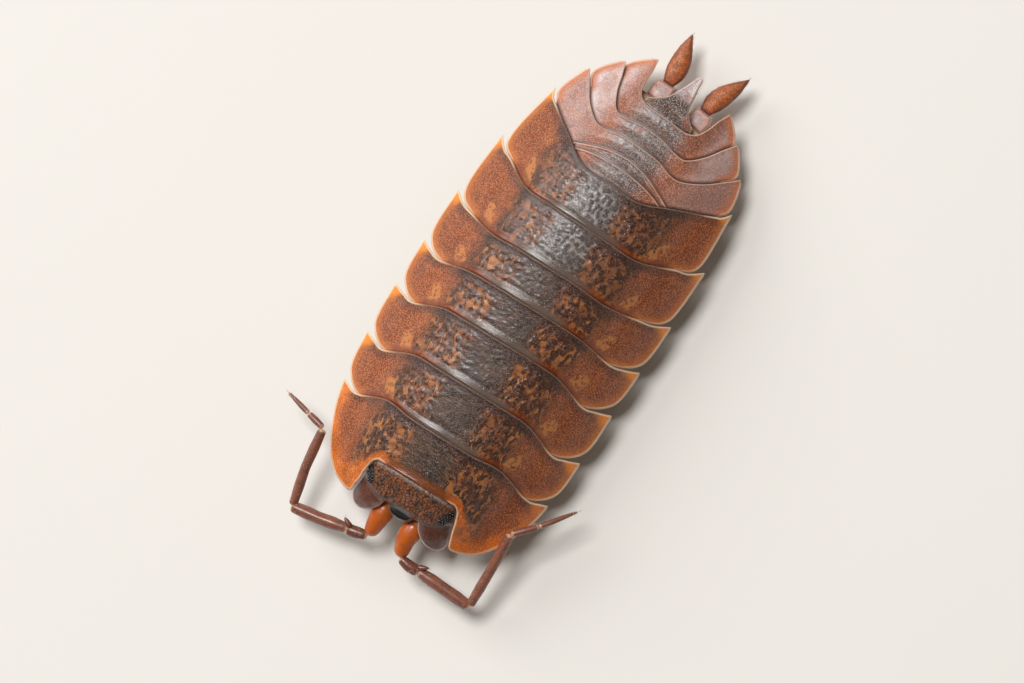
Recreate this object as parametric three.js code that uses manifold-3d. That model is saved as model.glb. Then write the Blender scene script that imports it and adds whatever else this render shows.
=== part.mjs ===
// Rough woodlouse, life size, as a still museum model. Millimetres, +Z up.
// The head points to -Y, the tail to +Y and the animal's left side to +X.
// The feet stand on the plane z = 0, and the origin is at the bottom centre of
// the bounding box.
import * as THREE from "three";
import { mergeVertices } from "three/addons/utils/BufferGeometryUtils.js";
import Module from "manifold-3d";

const wasm = await Module();
wasm.setup();

// Clear gap between touching nodes.
const GAP = 0.08;

// The body bows very slightly to the animal's right between head and tail.
const BOW = { middle: -0.5, reach: 8.4, head: 0.33, tail: 0.45 };

// Height of the back's crest, height of the plates' rim and half-width of
// the body, each as [y, value] along the body.
const CREST = [
  [-9.3, 2.3],
  [-8.4, 2.85],
  [-7.5, 3.3],
  [-6.0, 3.62],
  [-3.0, 3.78],
  [0.0, 3.8],
  [2.0, 3.66],
  [3.6, 3.36],
  [5.0, 2.8],
  [6.2, 2.28],
  [8.0, 1.5],
];
const RIM = [
  [-9.0, 1.35],
  [-7.0, 1.25],
  [-4.0, 1.2],
  [3.0, 1.2],
  [5.0, 1.2],
  [7.5, 1.15],
];
const ENVELOPE = [
  [-9.0, 2.6],
  [-8.2, 3.1],
  [-7.4, 3.45],
  [-6.0, 3.85],
  [-4.0, 4.05],
  [1.0, 4.08],
  [3.0, 3.95],
  [4.4, 3.65],
  [5.3, 3.3],
  [6.3, 2.8],
  [7.0, 2.3],
  [8.0, 1.7],
];
// Cross-section of the back: share of the half-width, share of the height.
// The pair on the other side of the midline rounds the crest.
const SECTION = [
  [-0.25, 0.955],
  [0.0, 1.0],
  [0.25, 0.955],
  [0.45, 0.83],
  [0.62, 0.6],
  [0.75, 0.39],
  [0.87, 0.19],
  [1.0, 0.0],
  [1.3, -0.3],
];
// Height of the belly along the body.
const BELLY = [
  [-9.0, 1.7],
  [-7.0, 1.62],
  [3.0, 1.6],
  [4.5, 1.4],
  [6.5, 1.32],
];
const RIM_THICKNESS = 0.3;
const REAR_LIFT = 0.13;

// Leg-bearing segments: y of the rear margin at the midline, at 2.1 mm and at
// 3.1 mm from it, the rear corner, and the greatest half-width.
const PEREON = [
  { mid: -5.95, shoulder: -5.88, trough: -6.22, tip: [3.8, -6.06], width: 3.66 },
  { mid: -4.2, shoulder: -4.24, trough: -4.62, tip: [3.95, -4.4], width: 4.0 },
  { mid: -2.47, shoulder: -2.52, trough: -2.85, tip: [4.0, -2.63], width: 4.08 },
  { mid: -1.09, shoulder: -1.13, trough: -1.29, tip: [4.0, -1.0], width: 4.06 },
  { mid: 0.25, shoulder: 0.21, trough: 0.42, tip: [4.0, 0.82], width: 4.09 },
  { mid: 1.92, shoulder: 1.96, trough: 2.44, tip: [3.87, 2.93], width: 4.02 },
  { mid: 3.5, shoulder: 4.05, trough: 4.62, tip: [3.45, 5.02], width: 3.82 },
];
const SHOULDER_X = 2.1;
const TROUGH_X = 3.1;

// Front margin of the first segment: it clasps the head between two lobes.
const CLASP = [
  [0.0, -7.47],
  [1.1, -7.47],
  [1.42, -7.52],
  [1.66, -7.94],
  [1.73, -8.5],
  [1.9, -8.9],
  [2.55, -8.67],
  [3.05, -8.15],
  [3.4, -7.5],
  [3.66, -6.85],
  [3.8, -6.22],
];
const CLASP_REAR_X = [0, 1.1, 1.5, 1.8, 2.1, 2.4, 2.7, 3.0, 3.3, 3.58, 3.8];

// Tail segments: half of the rear margin, from the midline to the rear
// corner, and for the last three the rim in front of that corner.
const PLEON = [
  {
    rear: [[0, 4.06], [0.7, 4.01], [1.15, 3.93], [1.45, 3.87]],
    front: [[0, 3.58], [0.7, 3.63], [1.15, 3.7], [1.45, 3.77]],
  },
  {
    rear: [[0, 4.44], [0.7, 4.33], [1.25, 4.13], [1.62, 3.97]],
    front: [[0, 4.14], [0.7, 4.09], [1.15, 4.01], [1.55, 3.93]],
  },
  {
    rear: [[0, 4.97], [0.75, 4.93], [1.25, 4.8], [1.65, 4.84], [2.2, 5.22], [2.65, 5.72], [2.93, 6.08]],
    front: [[0, 4.53], [0.75, 4.4], [1.3, 4.2], [1.85, 4.02], [2.5, 4.4], [3.2, 4.98], [3.05, 5.95]],
  },
  {
    rear: [[0, 5.58], [0.45, 5.56], [0.95, 5.46], [1.35, 5.5], [1.72, 5.95], [1.98, 6.5], [2.2, 6.92]],
    front: [[0, 5.06], [0.75, 5.02], [1.2, 4.89], [1.62, 4.94], [2.12, 5.28], [2.76, 6.15], [2.33, 6.85]],
  },
  {
    rear: [[0, 6.2], [0.4, 6.18], [0.8, 6.2], [1.08, 6.36], [1.22, 6.7], [1.3, 7.15], [1.42, 7.56]],
    front: [[0, 5.67], [0.45, 5.65], [0.92, 5.55], [1.28, 5.59], [1.66, 6.02], [2.08, 6.95], [1.56, 7.5]],
  },
];
// The telson: concave sides and a blunt tip.
const TELSON = {
  rear: [[0, 7.92], [0.1, 7.87], [0.22, 7.58], [0.35, 7.2], [0.4, 6.88], [0.6, 6.6], [0.86, 6.42]],
  front: [[0, 6.29], [0.1, 6.29], [0.2, 6.28], [0.35, 6.28], [0.5, 6.28], [0.66, 6.28], [0.88, 6.32]],
};
const TELSON_UNDERSIDE = 1.5;

const HEAD = { rear: -7.58, frons: -8.45, underside: 1.3, halfWidth: 1.6 };
// Front outline of the head: [x, y] from the middle lobe to a side lobe.
const HEAD_LOBES = [
  [0.0, -8.88],
  [0.3, -8.8],
  [0.52, -8.58],
  [0.64, -8.62],
  [0.85, -9.02],
  [1.3, -9.24],
  [1.6, -9.02],
];
const EYE = { x: 1.36, y: -8.2, z: 2.5, size: [0.2, 0.34, 0.22], turn: -0.5 };

// Legs: where each starts under its ring, how far out its foot stands, and
// how far the foot reaches forwards (negative) or backwards.
const LEGS = [
  { y: -6.75, foot: 2.95, reach: -0.8 },
  { y: -5.0, foot: 3.1, reach: -0.75 },
  { y: -3.35, foot: 3.25, reach: -0.7 },
  { y: -1.8, foot: 3.3, reach: -0.35 },
  { y: -0.5, foot: 3.3, reach: 0.45 },
  { y: 1.0, foot: 3.25, reach: 0.75 },
  { y: 2.55, foot: 3.0, reach: 0.85 },
];
const LEG = {
  coxa: 2.0,
  knee: 1.3,
  radius: 0.25,
  sides: 6,
  shankRadii: [0.22, 0.25, 0.24, 0.16, 0.11],
};

// Antennae as seen in the pose: joints from the base outwards.
const ANTENNAE = {
  right: {
    base: [[-0.25, -8.58, 1.75], [-0.22, -9.86, 1.4], [-0.86, -10.03, 1.34]],
    article_4: [[-0.98, -10.06, 1.33], [-2.72, -10.46, 1.2]],
    article_5: [[-2.84, -10.3, 1.24], [-3.25, -8.0, 1.85]],
    flagellum: [[-3.36, -7.78, 1.9], [-4.87, -7.54, 1.5]],
  },
  left: {
    base: [[0.85, -8.58, 1.75], [0.96, -9.88, 1.4], [1.62, -9.92, 1.34]],
    article_4: [[1.75, -9.92, 1.33], [3.56, -9.98, 1.2]],
    article_5: [[3.64, -9.78, 1.26], [3.5, -7.42, 1.95]],
    flagellum: [[3.58, -7.2, 1.98], [4.84, -5.55, 1.6]],
  },
};
const ANTENNA_RADII = { base: [0.36, 0.27], article_4: [0.24, 0.25], article_5: [0.22, 0.22] };
const FLAGELLUM_RADII = [0.17, 0.05];

const UROPOD = {
  protopod: { inner: 0.42, outer: 1.06, front: 6.48, rear: 7.2, low: 0.9, high: 1.4 },
  exopodInner: [[0.44, 7.28], [0.42, 7.65], [0.6, 8.15], [1.07, 8.82]],
  exopodOuter: [[0.96, 7.28], [1.14, 7.7], [1.24, 8.3], [1.19, 8.82]],
  exopodHeight: [1.14, 1.36],
  endopod: [[0.3, 7.28, 1.0], [0.2, 7.85, 0.95]],
};

// Overlapping breathing plates under the tail, and the mouth's cover plate.
const PLEOPOD = { x: 0.78, first: 4.25, step: 0.5, count: 4, size: [0.68, 0.44, 0.24], z: 1.04, tilt: 0.2 };
const MOUTH = { y: -7.95, z: 1.06, size: [0.62, 0.5, 0.3] };

const SHELL = 0x6b3a22;
const SHELL_DARK = 0x4a2c22;
const SHELL_LILAC = 0x6d5350;
const HEAD_BROWN = 0x3c261e;
const EYE_BLACK = 0x0b0a0b;
const LIMB_PALE = 0xb08a66;
const ANTENNA_BROWN = 0x5b3a33;
const ANTENNA_ORANGE = 0xa85a24;
const EXOPOD_RUST = 0x7c3d1e;

// A smooth curve through [position, value] pairs, as a function.
function smooth(pairs) {
  const at = Float32Array.from(pairs, (pair) => pair[0]);
  const values = Float32Array.from(pairs, (pair) => pair[1]);
  const curve = new THREE.CubicInterpolant(at, values, 1, new Float32Array(1));
  const first = at[0];
  const last = at[at.length - 1];
  return (t) => curve.evaluate(Math.min(last, Math.max(first, t)))[0];
}

const crest = smooth(CREST);
const rim = smooth(RIM);
const envelope = smooth(ENVELOPE);
const section = smooth(SECTION);
const bellyLine = smooth(BELLY);

// Height of the back's surface over a point of the plan.
function backHeight(x, y) {
  const share = Math.abs(x) / envelope(y);
  return rim(y) + (crest(y) - rim(y)) * section(share);
}

// Height of the underside: the belly inside, thin plates outside.
function bellyHeight(x, y) {
  const share = Math.abs(x) / envelope(y);
  const outside = THREE.MathUtils.smoothstep(share, 0.55, 0.74);
  const thin = backHeight(x, y) - RIM_THICKNESS;
  return THREE.MathUtils.lerp(Math.min(bellyLine(y), thin), thin, outside);
}

// Carries a straight-built point into the bowed body.
function bow(point) {
  const run = (point.y - BOW.middle) / BOW.reach;
  const amount = run < 0 ? BOW.head : BOW.tail;
  const slope = (2 * amount * run) / BOW.reach;
  const x = point.x;
  point.x = amount * run * run + x * Math.cos(slope);
  point.y -= x * Math.sin(slope);
  return point;
}

function mapVertices(geometry, place) {
  const positions = geometry.getAttribute("position");
  const point = new THREE.Vector3();
  for (let i = 0; i < positions.count; i += 1) {
    point.fromBufferAttribute(positions, i);
    place(point);
    positions.setXYZ(i, point.x, point.y, point.z);
  }
  return geometry;
}

function welded(geometry) {
  geometry.deleteAttribute("normal");
  geometry.deleteAttribute("uv");
  return mergeVertices(geometry, 1e-4);
}

function solidOf(geometry) {
  const merged = welded(geometry);
  return new wasm.Manifold(
    new wasm.Mesh({
      numProp: 3,
      vertProperties: Float32Array.from(merged.getAttribute("position").array),
      triVerts: Uint32Array.from(merged.index.array),
    }),
  );
}

// The largest closed surface of a solid, as a geometry.
function geometryOf(solid) {
  const bodies = solid.decompose();
  bodies.sort((a, b) => b.volume() - a.volume());
  const mesh = bodies[0].getMesh();
  const geometry = new THREE.BufferGeometry();
  const count = mesh.vertProperties.length / mesh.numProp;
  const positions = new Float32Array(count * 3);
  for (let i = 0; i < count; i += 1) {
    for (let axis = 0; axis < 3; axis += 1) {
      positions[3 * i + axis] = mesh.vertProperties[mesh.numProp * i + axis];
    }
  }
  geometry.setAttribute("position", new THREE.BufferAttribute(positions, 3));
  geometry.setIndex(new THREE.BufferAttribute(Uint32Array.from(mesh.triVerts), 1));
  return geometry;
}

function fused(geometries) {
  const solids = geometries.map(solidOf);
  return geometryOf(solids.reduce((sum, solid) => sum.add(solid)));
}

const woodlouse = new THREE.Group();

function addNode(name, geometry, color, roughness = 0.5) {
  const material = new THREE.MeshStandardMaterial({ color, roughness, metalness: 0 });
  const mesh = new THREE.Mesh(welded(geometry), material);
  mesh.geometry.computeVertexNormals();
  mesh.name = name;
  woodlouse.add(mesh);
}

const planCurve = (points) => new THREE.SplineCurve(points.map(([x, y]) => new THREE.Vector2(x, y)));

// A body ring between two half margins that run from the midline outwards.
// heightTop and heightBottom give its upper and lower faces.
function ring(front, rear, columns, rows, heightTop, heightBottom) {
  const frontCurve = planCurve(front);
  const rearCurve = planCurve(rear);
  const box = new THREE.BoxGeometry(2, 1, 1, columns, rows, 1);
  return mapVertices(box, (point) => {
    const side = Math.sign(point.x);
    const along = point.y + 0.5;
    const top = point.z > 0;
    const start = frontCurve.getPoint(Math.abs(point.x));
    const end = rearCurve.getPoint(Math.abs(point.x));
    const plan = start.lerp(end, along);
    point.x = side * plan.x;
    point.y = plan.y;
    point.z = top ? heightTop(plan.x, plan.y, along) : heightBottom(plan.x, plan.y);
    bow(point);
  });
}

const tergiteTop = (x, y, along) => backHeight(x, y) + REAR_LIFT * along * along;

function rearMargin(segment) {
  const middle = (segment.trough + segment.tip[1]) / 2;
  return [
    [0, segment.mid],
    [SHOULDER_X / 2, segment.mid],
    [SHOULDER_X, segment.shoulder],
    [TROUGH_X, segment.trough],
    [(TROUGH_X + segment.tip[0]) / 2, THREE.MathUtils.lerp(segment.trough, middle, 0.6)],
    segment.tip,
  ];
}

// The front margin follows the rear margin of the segment before it, then
// turns round the free front corner and runs back along the rim.
function frontMargin(segment, before) {
  return [
    [0, before.mid + GAP],
    [SHOULDER_X / 2, before.mid + GAP],
    [SHOULDER_X, before.shoulder + GAP],
    [TROUGH_X + 0.05, before.trough + GAP + 0.07],
    [segment.width - 0.12, before.trough + 0.62],
    [segment.tip[0] + 0.03, segment.tip[1] - 0.14],
  ];
}

// First segment with its head clasp.
const firstRear = planCurve(rearMargin(PEREON[0]));
const claspRear = CLASP_REAR_X.map((x) => {
  const samples = firstRear.getPoints(200);
  const nearest = samples.reduce((a, b) => (Math.abs(b.x - x) < Math.abs(a.x - x) ? b : a));
  return [x, nearest.y];
});
addNode("pereonite_1", ring(CLASP, claspRear, 36, 5, tergiteTop, bellyHeight), SHELL);

for (let k = 1; k < PEREON.length; k += 1) {
  const front = frontMargin(PEREON[k], PEREON[k - 1]);
  const body = ring(front, rearMargin(PEREON[k]), 28, 5, tergiteTop, bellyHeight);
  addNode(`pereonite_${k + 1}`, body, SHELL);
}

PLEON.forEach((segment, k) => {
  const columns = k < 2 ? 12 : 26;
  const body = ring(segment.front, segment.rear, columns, 3, tergiteTop, bellyHeight);
  addNode(`pleonite_${k + 1}`, body, SHELL_DARK);
});

const telsonBottom = (x, y) => Math.min(TELSON_UNDERSIDE, backHeight(x, y) - RIM_THICKNESS);
const telson = ring(TELSON.front, TELSON.rear, 16, 5, (x, y) => backHeight(x, y), telsonBottom);
addNode("telson", telson, SHELL_LILAC);

// Head: a rounded block whose upper front edge runs out into three lobes.
const lobeLine = smooth(HEAD_LOBES);
function headPlace(point) {
  const side = Math.sign(point.x);
  const across = Math.abs(point.x);
  const back = point.y + 0.5;
  const up = point.z + 0.5;
  const reach = THREE.MathUtils.smoothstep(up, 0.15, 0.8);
  const frontX = across * HEAD.halfWidth;
  const rearX = across * (HEAD.halfWidth - 0.28 * THREE.MathUtils.smoothstep(back, 0.6, 1));
  const x = THREE.MathUtils.lerp(frontX, rearX, back) * (0.82 + 0.18 * up);
  const front = THREE.MathUtils.lerp(HEAD.frons, lobeLine(frontX), reach);
  const y = THREE.MathUtils.lerp(front, HEAD.rear, back);
  const fall = 0.62 * (x / HEAD.halfWidth) ** 3 + 0.12 * (1 - back) ** 3;
  const topHeight = crest(y) - 0.08 - fall;
  point.set(side * x, y, THREE.MathUtils.lerp(HEAD.underside, topHeight, up));
  return point;
}

function eyeGeometry(side, swell) {
  const geometry = new THREE.SphereGeometry(1, 12, 8);
  geometry.scale(...EYE.size.map((size) => size + swell));
  geometry.rotateZ(side * EYE.turn);
  geometry.translate(side * EYE.x, EYE.y, EYE.z);
  return mapVertices(geometry, bow);
}

const headBlock = mapVertices(new THREE.BoxGeometry(2, 1, 1, 26, 5, 3), (p) => bow(headPlace(p)));
const socketed = [1, -1].reduce(
  (solid, side) => solid.subtract(solidOf(eyeGeometry(side, GAP))),
  solidOf(headBlock),
);
addNode("head", geometryOf(socketed), HEAD_BROWN);
addNode("eye_left", eyeGeometry(1, 0), EYE_BLACK, 0.15);
addNode("eye_right", eyeGeometry(-1, 0), EYE_BLACK, 0.15);

// One article of a limb: a round-ended, tapered rod between two points.
function article(from, to, radiusFrom, radiusTo, sides) {
  const start = new THREE.Vector3(...from);
  const end = new THREE.Vector3(...to);
  const length = start.distanceTo(end);
  const round = Math.min(0.12, length / 4);
  const profile = [
    new THREE.Vector2(0, 0),
    new THREE.Vector2(0.7 * radiusFrom, 0),
    new THREE.Vector2(radiusFrom, round),
    new THREE.Vector2(radiusTo, length - round),
    new THREE.Vector2(0.7 * radiusTo, length),
    new THREE.Vector2(0, length),
  ];
  const rod = new THREE.LatheGeometry(profile, sides);
  const along = end.clone().sub(start).normalize();
  const turn = new THREE.Quaternion().setFromUnitVectors(new THREE.Vector3(0, 1, 0), along);
  return rod.applyQuaternion(turn).translate(start.x, start.y, start.z);
}

// A tube of few sides through jointed points, which lie near a plane across
// the body. Its last ring is level, so that the tube can stand on it.
function jointedTube(points, radii, sides) {
  const joints = points.map((point) => new THREE.Vector3(...point));
  const last = joints.length - 1;
  const tube = new THREE.CylinderGeometry(1, 1, 1, sides, last);
  const rings = joints.map((joint, j) => {
    const before = joints[Math.max(0, j - 1)];
    const after = joints[Math.min(last, j + 1)];
    const travel = after.clone().sub(before).normalize();
    if (j === last) {
      travel.set(0, 0, -1);
    }
    const wide = new THREE.Vector3(0, 1, 0).cross(travel).normalize();
    return { joint, wide, deep: travel.clone().cross(wide) };
  });
  return mapVertices(tube, (point) => {
    const j = Math.round((0.5 - point.y) * last);
    const { joint, wide, deep } = rings[j];
    const across = wide.clone().multiplyScalar(point.x * radii[j]);
    const around = deep.clone().multiplyScalar(point.z * radii[j]);
    point.copy(joint).add(across).add(around);
  });
}

// A leg's thigh folds inwards under the belly, and the shank runs from the
// knee outwards and down to a small flat foot.
function leg(place, side) {
  const at = (x, share, z) => [side * x, place.y + place.reach * share, z];
  const coxa = at(LEG.coxa, 0, bellyHeight(LEG.coxa, place.y) - GAP);
  const thigh = article(coxa, at(LEG.knee - 0.14, 0.3, 1.0), LEG.radius, LEG.radius, LEG.sides);
  const shank = jointedTube(
    [
      at(LEG.knee - 0.1, 0.26, 1.06),
      at((LEG.knee + place.foot) / 2, 0.62, 0.9),
      at(place.foot - 0.3, 0.88, 0.6),
      at(place.foot - 0.04, 1, 0.2),
      at(place.foot, 1, 0),
    ],
    LEG.shankRadii,
    LEG.sides,
  );
  return mapVertices(fused([thigh, shank]), bow);
}

LEGS.forEach((place, k) => {
  addNode(`leg_left_${k + 1}`, leg(place, 1), LIMB_PALE);
  addNode(`leg_right_${k + 1}`, leg(place, -1), LIMB_PALE);
});

// Antennae: two short base articles in one node, then three free ones.
for (const [side, joints] of Object.entries(ANTENNAE)) {
  const [root, elbow, end] = joints.base;
  const [thick, thin] = ANTENNA_RADII.base;
  const base = fused([
    article(root, elbow, thick, thin, 8),
    article([elbow[0], elbow[1] + 0.06, elbow[2]], end, thin - 0.01, 0.24, 8),
  ]);
  addNode(`antenna_${side}_base`, base, ANTENNA_ORANGE);
  for (const name of ["article_4", "article_5"]) {
    const rod = article(...joints[name], ...ANTENNA_RADII[name], 8);
    addNode(`antenna_${side}_${name}`, rod, ANTENNA_BROWN);
  }
  const whip = article(...joints.flagellum, ...FLAGELLUM_RADII, 8);
  addNode(`antenna_${side}_flagellum`, whip, ANTENNA_BROWN);
}

// Uropods: a square first article that carries an outer lance and an inner rod.
function protopod(side) {
  const p = UROPOD.protopod;
  const box = new THREE.BoxGeometry(p.outer - p.inner, p.rear - p.front, p.high - p.low, 2, 2, 1);
  box.translate((p.inner + p.outer) / 2, (p.front + p.rear) / 2, (p.low + p.high) / 2);
  return mapVertices(box, (point) => {
    point.x *= side;
    bow(point);
  });
}

function exopod(side) {
  const inner = planCurve(UROPOD.exopodInner);
  const outer = planCurve(UROPOD.exopodOuter);
  const [low, high] = UROPOD.exopodHeight;
  const box = new THREE.BoxGeometry(1, 1, 1, 4, 8, 1);
  return mapVertices(box, (point) => {
    const across = point.x + 0.5;
    const along = point.y + 0.5;
    const plan = inner.getPoint(along).lerp(outer.getPoint(along), across);
    const swell = 0.1 * Math.sin(Math.PI * across);
    const height = point.z > 0 ? high + swell : low - swell;
    point.set(side * plan.x, plan.y, height - 0.12 * along);
    bow(point);
  });
}

// Mirrored geometry has its faces turned inside out, and this turns them back.
function flipped(geometry) {
  const merged = welded(geometry);
  const index = merged.index.array;
  for (let i = 0; i < index.length; i += 3) {
    [index[i + 1], index[i + 2]] = [index[i + 2], index[i + 1]];
  }
  return merged;
}

for (const [side, sign] of [["left", 1], ["right", -1]]) {
  const turned = (geometry) => (sign < 0 ? flipped(geometry) : geometry);
  addNode(`uropod_${side}_protopod`, turned(protopod(sign)), SHELL_LILAC);
  addNode(`uropod_${side}_exopod`, turned(exopod(sign)), EXOPOD_RUST);
  const [from, to] = UROPOD.endopod.map(([x, y, z]) => [sign * x, y, z]);
  const endopod = mapVertices(article(from, to, 0.15, 0.1, 7), bow);
  addNode(`uropod_${side}_endopod`, endopod, EXOPOD_RUST);
}

// A flat oval plate, level before it is tilted towards the tail.
function ovalPlate(size, sides, tilt) {
  const plate = new THREE.CylinderGeometry(0.9, 1, 1, sides);
  plate.rotateX(-Math.PI / 2);
  plate.scale(...size);
  return plate.rotateX(tilt);
}

for (const [side, sign] of [["left", 1], ["right", -1]]) {
  const plates = [];
  for (let i = 0; i < PLEOPOD.count; i += 1) {
    const plate = ovalPlate(PLEOPOD.size, 10, PLEOPOD.tilt);
    plate.translate(sign * PLEOPOD.x, PLEOPOD.first + i * PLEOPOD.step, PLEOPOD.z);
    plates.push(plate);
  }
  addNode(`pleopods_${side}`, mapVertices(fused(plates), bow), LIMB_PALE);
}

const mouth = ovalPlate(MOUTH.size, 12, 0).translate(0, MOUTH.y, MOUTH.z);
addNode("mouthparts", mapVertices(mouth, bow), LIMB_PALE);

// The sizes above are measured from the middle of the back. The finished
// model stands with its origin under the centre of its bounding box.
const centre = new THREE.Box3().setFromObject(woodlouse).getCenter(new THREE.Vector3());
woodlouse.position.set(-centre.x, -centre.y, 0);
const model = new THREE.Group();
model.add(woodlouse);

export default model;
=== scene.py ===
"""Dresses the solids of a life-size woodlouse: shell plates, head, limbs and their finishes.

Lengths in the code are millimetres in the body's own straight frame, with the head towards -Y, unless a
name or comment says otherwise. placed() carries them into the bowed, finished model in metres.
"""

import math

import bpy
import numpy as np
from mathutils import Matrix, Vector


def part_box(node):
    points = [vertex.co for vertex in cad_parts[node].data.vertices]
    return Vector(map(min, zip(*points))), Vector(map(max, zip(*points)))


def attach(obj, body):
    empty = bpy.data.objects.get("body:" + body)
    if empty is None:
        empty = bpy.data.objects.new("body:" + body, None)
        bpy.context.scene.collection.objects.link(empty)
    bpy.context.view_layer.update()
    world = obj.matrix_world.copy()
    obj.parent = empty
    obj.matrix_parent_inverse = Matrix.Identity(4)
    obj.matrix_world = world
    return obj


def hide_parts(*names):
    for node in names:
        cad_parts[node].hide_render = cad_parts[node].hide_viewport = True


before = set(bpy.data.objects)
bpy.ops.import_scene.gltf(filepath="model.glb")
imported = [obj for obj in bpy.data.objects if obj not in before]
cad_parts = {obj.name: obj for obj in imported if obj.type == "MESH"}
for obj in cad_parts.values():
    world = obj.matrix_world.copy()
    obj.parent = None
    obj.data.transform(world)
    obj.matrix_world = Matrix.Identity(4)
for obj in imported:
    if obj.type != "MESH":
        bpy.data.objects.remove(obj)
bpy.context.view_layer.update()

bl_info = {
    "name": "Woodlouse museum model",
    "version": (1, 0, 0),
    "blender": (4, 5, 0),
    "location": "3D View > Sidebar > Woodlouse",
    "description": "Makes the shell plates, head, limbs and stage of a life-size woodlouse",
    "category": "Add Mesh",
}

MM = 0.001
CHITIN_IOR = 1.56

# Body shape, as [y, value] pairs along the body: height of the back's crest, height of the rim,
# half-width of the body and height of the belly.
CREST = [
    [-9.3, 2.3], [-8.4, 2.85], [-7.5, 3.3], [-6.0, 3.62], [-3.0, 3.78], [0.0, 3.8],
    [2.0, 3.66], [3.6, 3.36], [5.0, 2.8], [6.2, 2.28], [8.0, 1.5],
]
RIM = [[-9.0, 1.35], [-7.0, 1.25], [-4.0, 1.2], [3.0, 1.2], [5.0, 1.2], [7.5, 1.15]]
ENVELOPE = [
    [-9.0, 2.6], [-8.2, 3.1], [-7.4, 3.45], [-6.0, 3.85], [-4.0, 4.05], [1.0, 4.08],
    [3.0, 3.95], [4.4, 3.65], [5.3, 3.3], [6.3, 2.8], [7.0, 2.3], [8.0, 1.7],
]
BELLY = [[-9.0, 1.7], [-7.0, 1.62], [3.0, 1.6], [4.5, 1.4], [6.5, 1.32]]
# Cross-section of the back: share of the half-width, share of the height. The pair on the other side
# of the midline rounds the crest.
SECTION = [
    [-0.25, 0.955], [0.0, 1.0], [0.25, 0.955], [0.45, 0.83], [0.62, 0.6], [0.75, 0.39], [0.87, 0.19],
    [1.0, 0.0], [1.3, -0.3],
]
RIM_THICKNESS = 0.3
REAR_LIFT = 0.13
GAP = 0.08

# The body bows slightly to its right between head and tail.
BOW = {"middle": -0.5, "reach": 8.4, "head": 0.33, "tail": 0.45}
# Slope of the cross lines ahead of the second segment, and how much it grows behind the fourth.
SKEW = {"head": -0.02, "growth": 0.05}

# Leg-bearing segments: y of the rear margin at the midline, at the shoulder and in the trough,
# the rear corner, the greatest half-width and how far out the tan patch lies.
PEREON = [
    {"mid": -5.95, "shoulder": -5.88, "trough": -6.22, "tip": [3.8, -6.06], "width": 3.66, "patch": 2.2},
    {"mid": -4.2, "shoulder": -4.24, "trough": -4.62, "tip": [3.95, -4.4], "width": 4.0, "patch": 2.25},
    {"mid": -2.47, "shoulder": -2.52, "trough": -2.85, "tip": [4.0, -2.63], "width": 4.08, "patch": 2.6},
    {"mid": -1.09, "shoulder": -1.13, "trough": -1.29, "tip": [4.0, -1.0], "width": 4.06, "patch": 2.65},
    {"mid": 0.25, "shoulder": 0.21, "trough": 0.42, "tip": [4.0, 0.82], "width": 4.09, "patch": 2.65},
    {"mid": 1.92, "shoulder": 1.96, "trough": 2.44, "tip": [3.87, 2.93], "width": 4.02, "patch": 2.6},
    {"mid": 3.5, "shoulder": 4.05, "trough": 4.62, "tip": [3.45, 5.02], "width": 3.82, "patch": 2.35},
]
SHOULDER_X = 2.1
TROUGH_X = 3.1
# Front margin of the first segment, which clasps the head between two lobes.
CLASP = [
    [0.0, -7.47], [1.1, -7.47], [1.44, -7.52], [1.6, -7.95], [1.7, -8.5], [1.87, -8.9],
    [2.55, -8.67], [3.05, -8.15], [3.4, -7.5], [3.66, -6.85], [3.8, -6.22],
]
CLASP_REAR_X = [0, 1.1, 1.5, 1.8, 2.1, 2.4, 2.7, 3.0, 3.3, 3.58, 3.8]

# Shares of a front margin between which the plate stops reaching under the one before it.
BACK_FADE = (0.48, 0.6)
CLASP_FADE = (0.17, 0.27)
CLASP_TUCK = 0.12
BACK_RECESS = 0.15
# Bumps of the front four and of the last three back plates: size and stretch of the knobs on the
# shoulders and of the low ridges along the middle.
EARLY_KNOBS = {"size": 0.17, "stretch": 0.8, "low": 0.105, "low_stretch": 1.7}
LATE_KNOBS = {"size": 0.21, "stretch": 1.0, "low": 0.155, "low_stretch": 1.2}

# Tail segments: half of the rear and front margins, from the midline outwards.
PLEON = [
    {
        "rear": [[0, 4.06], [0.7, 4.01], [1.15, 3.93], [1.45, 3.84], [1.85, 3.66]],
        "front": [[0, 3.58], [0.7, 3.63], [1.15, 3.7], [1.45, 3.74], [1.8, 3.6]],
    },
    {
        "rear": [[0, 4.44], [0.7, 4.33], [1.25, 4.13], [1.62, 3.97], [2.05, 3.76]],
        "front": [[0, 4.14], [0.7, 4.09], [1.15, 4.01], [1.55, 3.9], [2.0, 3.68]],
    },
    {
        "rear": [
            [0, 4.97], [0.75, 4.93], [1.25, 4.8], [1.65, 4.84], [2.2, 5.22], [2.65, 5.72],
            [2.97, 6.1],
        ],
        "front": [
            [0, 4.53], [0.75, 4.4], [1.3, 4.2], [1.85, 4.02], [2.6, 4.36], [3.32, 4.95],
            [3.1, 5.97],
        ],
    },
    {
        "rear": [
            [0, 5.58], [0.45, 5.56], [0.95, 5.46], [1.35, 5.5], [1.72, 5.95], [1.98, 6.5],
            [2.2, 6.92],
        ],
        "front": [
            [0, 5.06], [0.75, 5.02], [1.2, 4.89], [1.62, 4.94], [2.18, 5.24], [2.84, 6.04],
            [2.37, 6.85],
        ],
    },
    {
        "rear": [
            [0, 6.2], [0.4, 6.18], [0.8, 6.2], [1.08, 6.36], [1.22, 6.7], [1.3, 7.15],
            [1.42, 7.56],
        ],
        "front": [
            [0, 5.67], [0.45, 5.65], [0.92, 5.55], [1.28, 5.59], [1.72, 5.98], [2.15, 6.82],
            [1.6, 7.5],
        ],
    },
]
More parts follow.
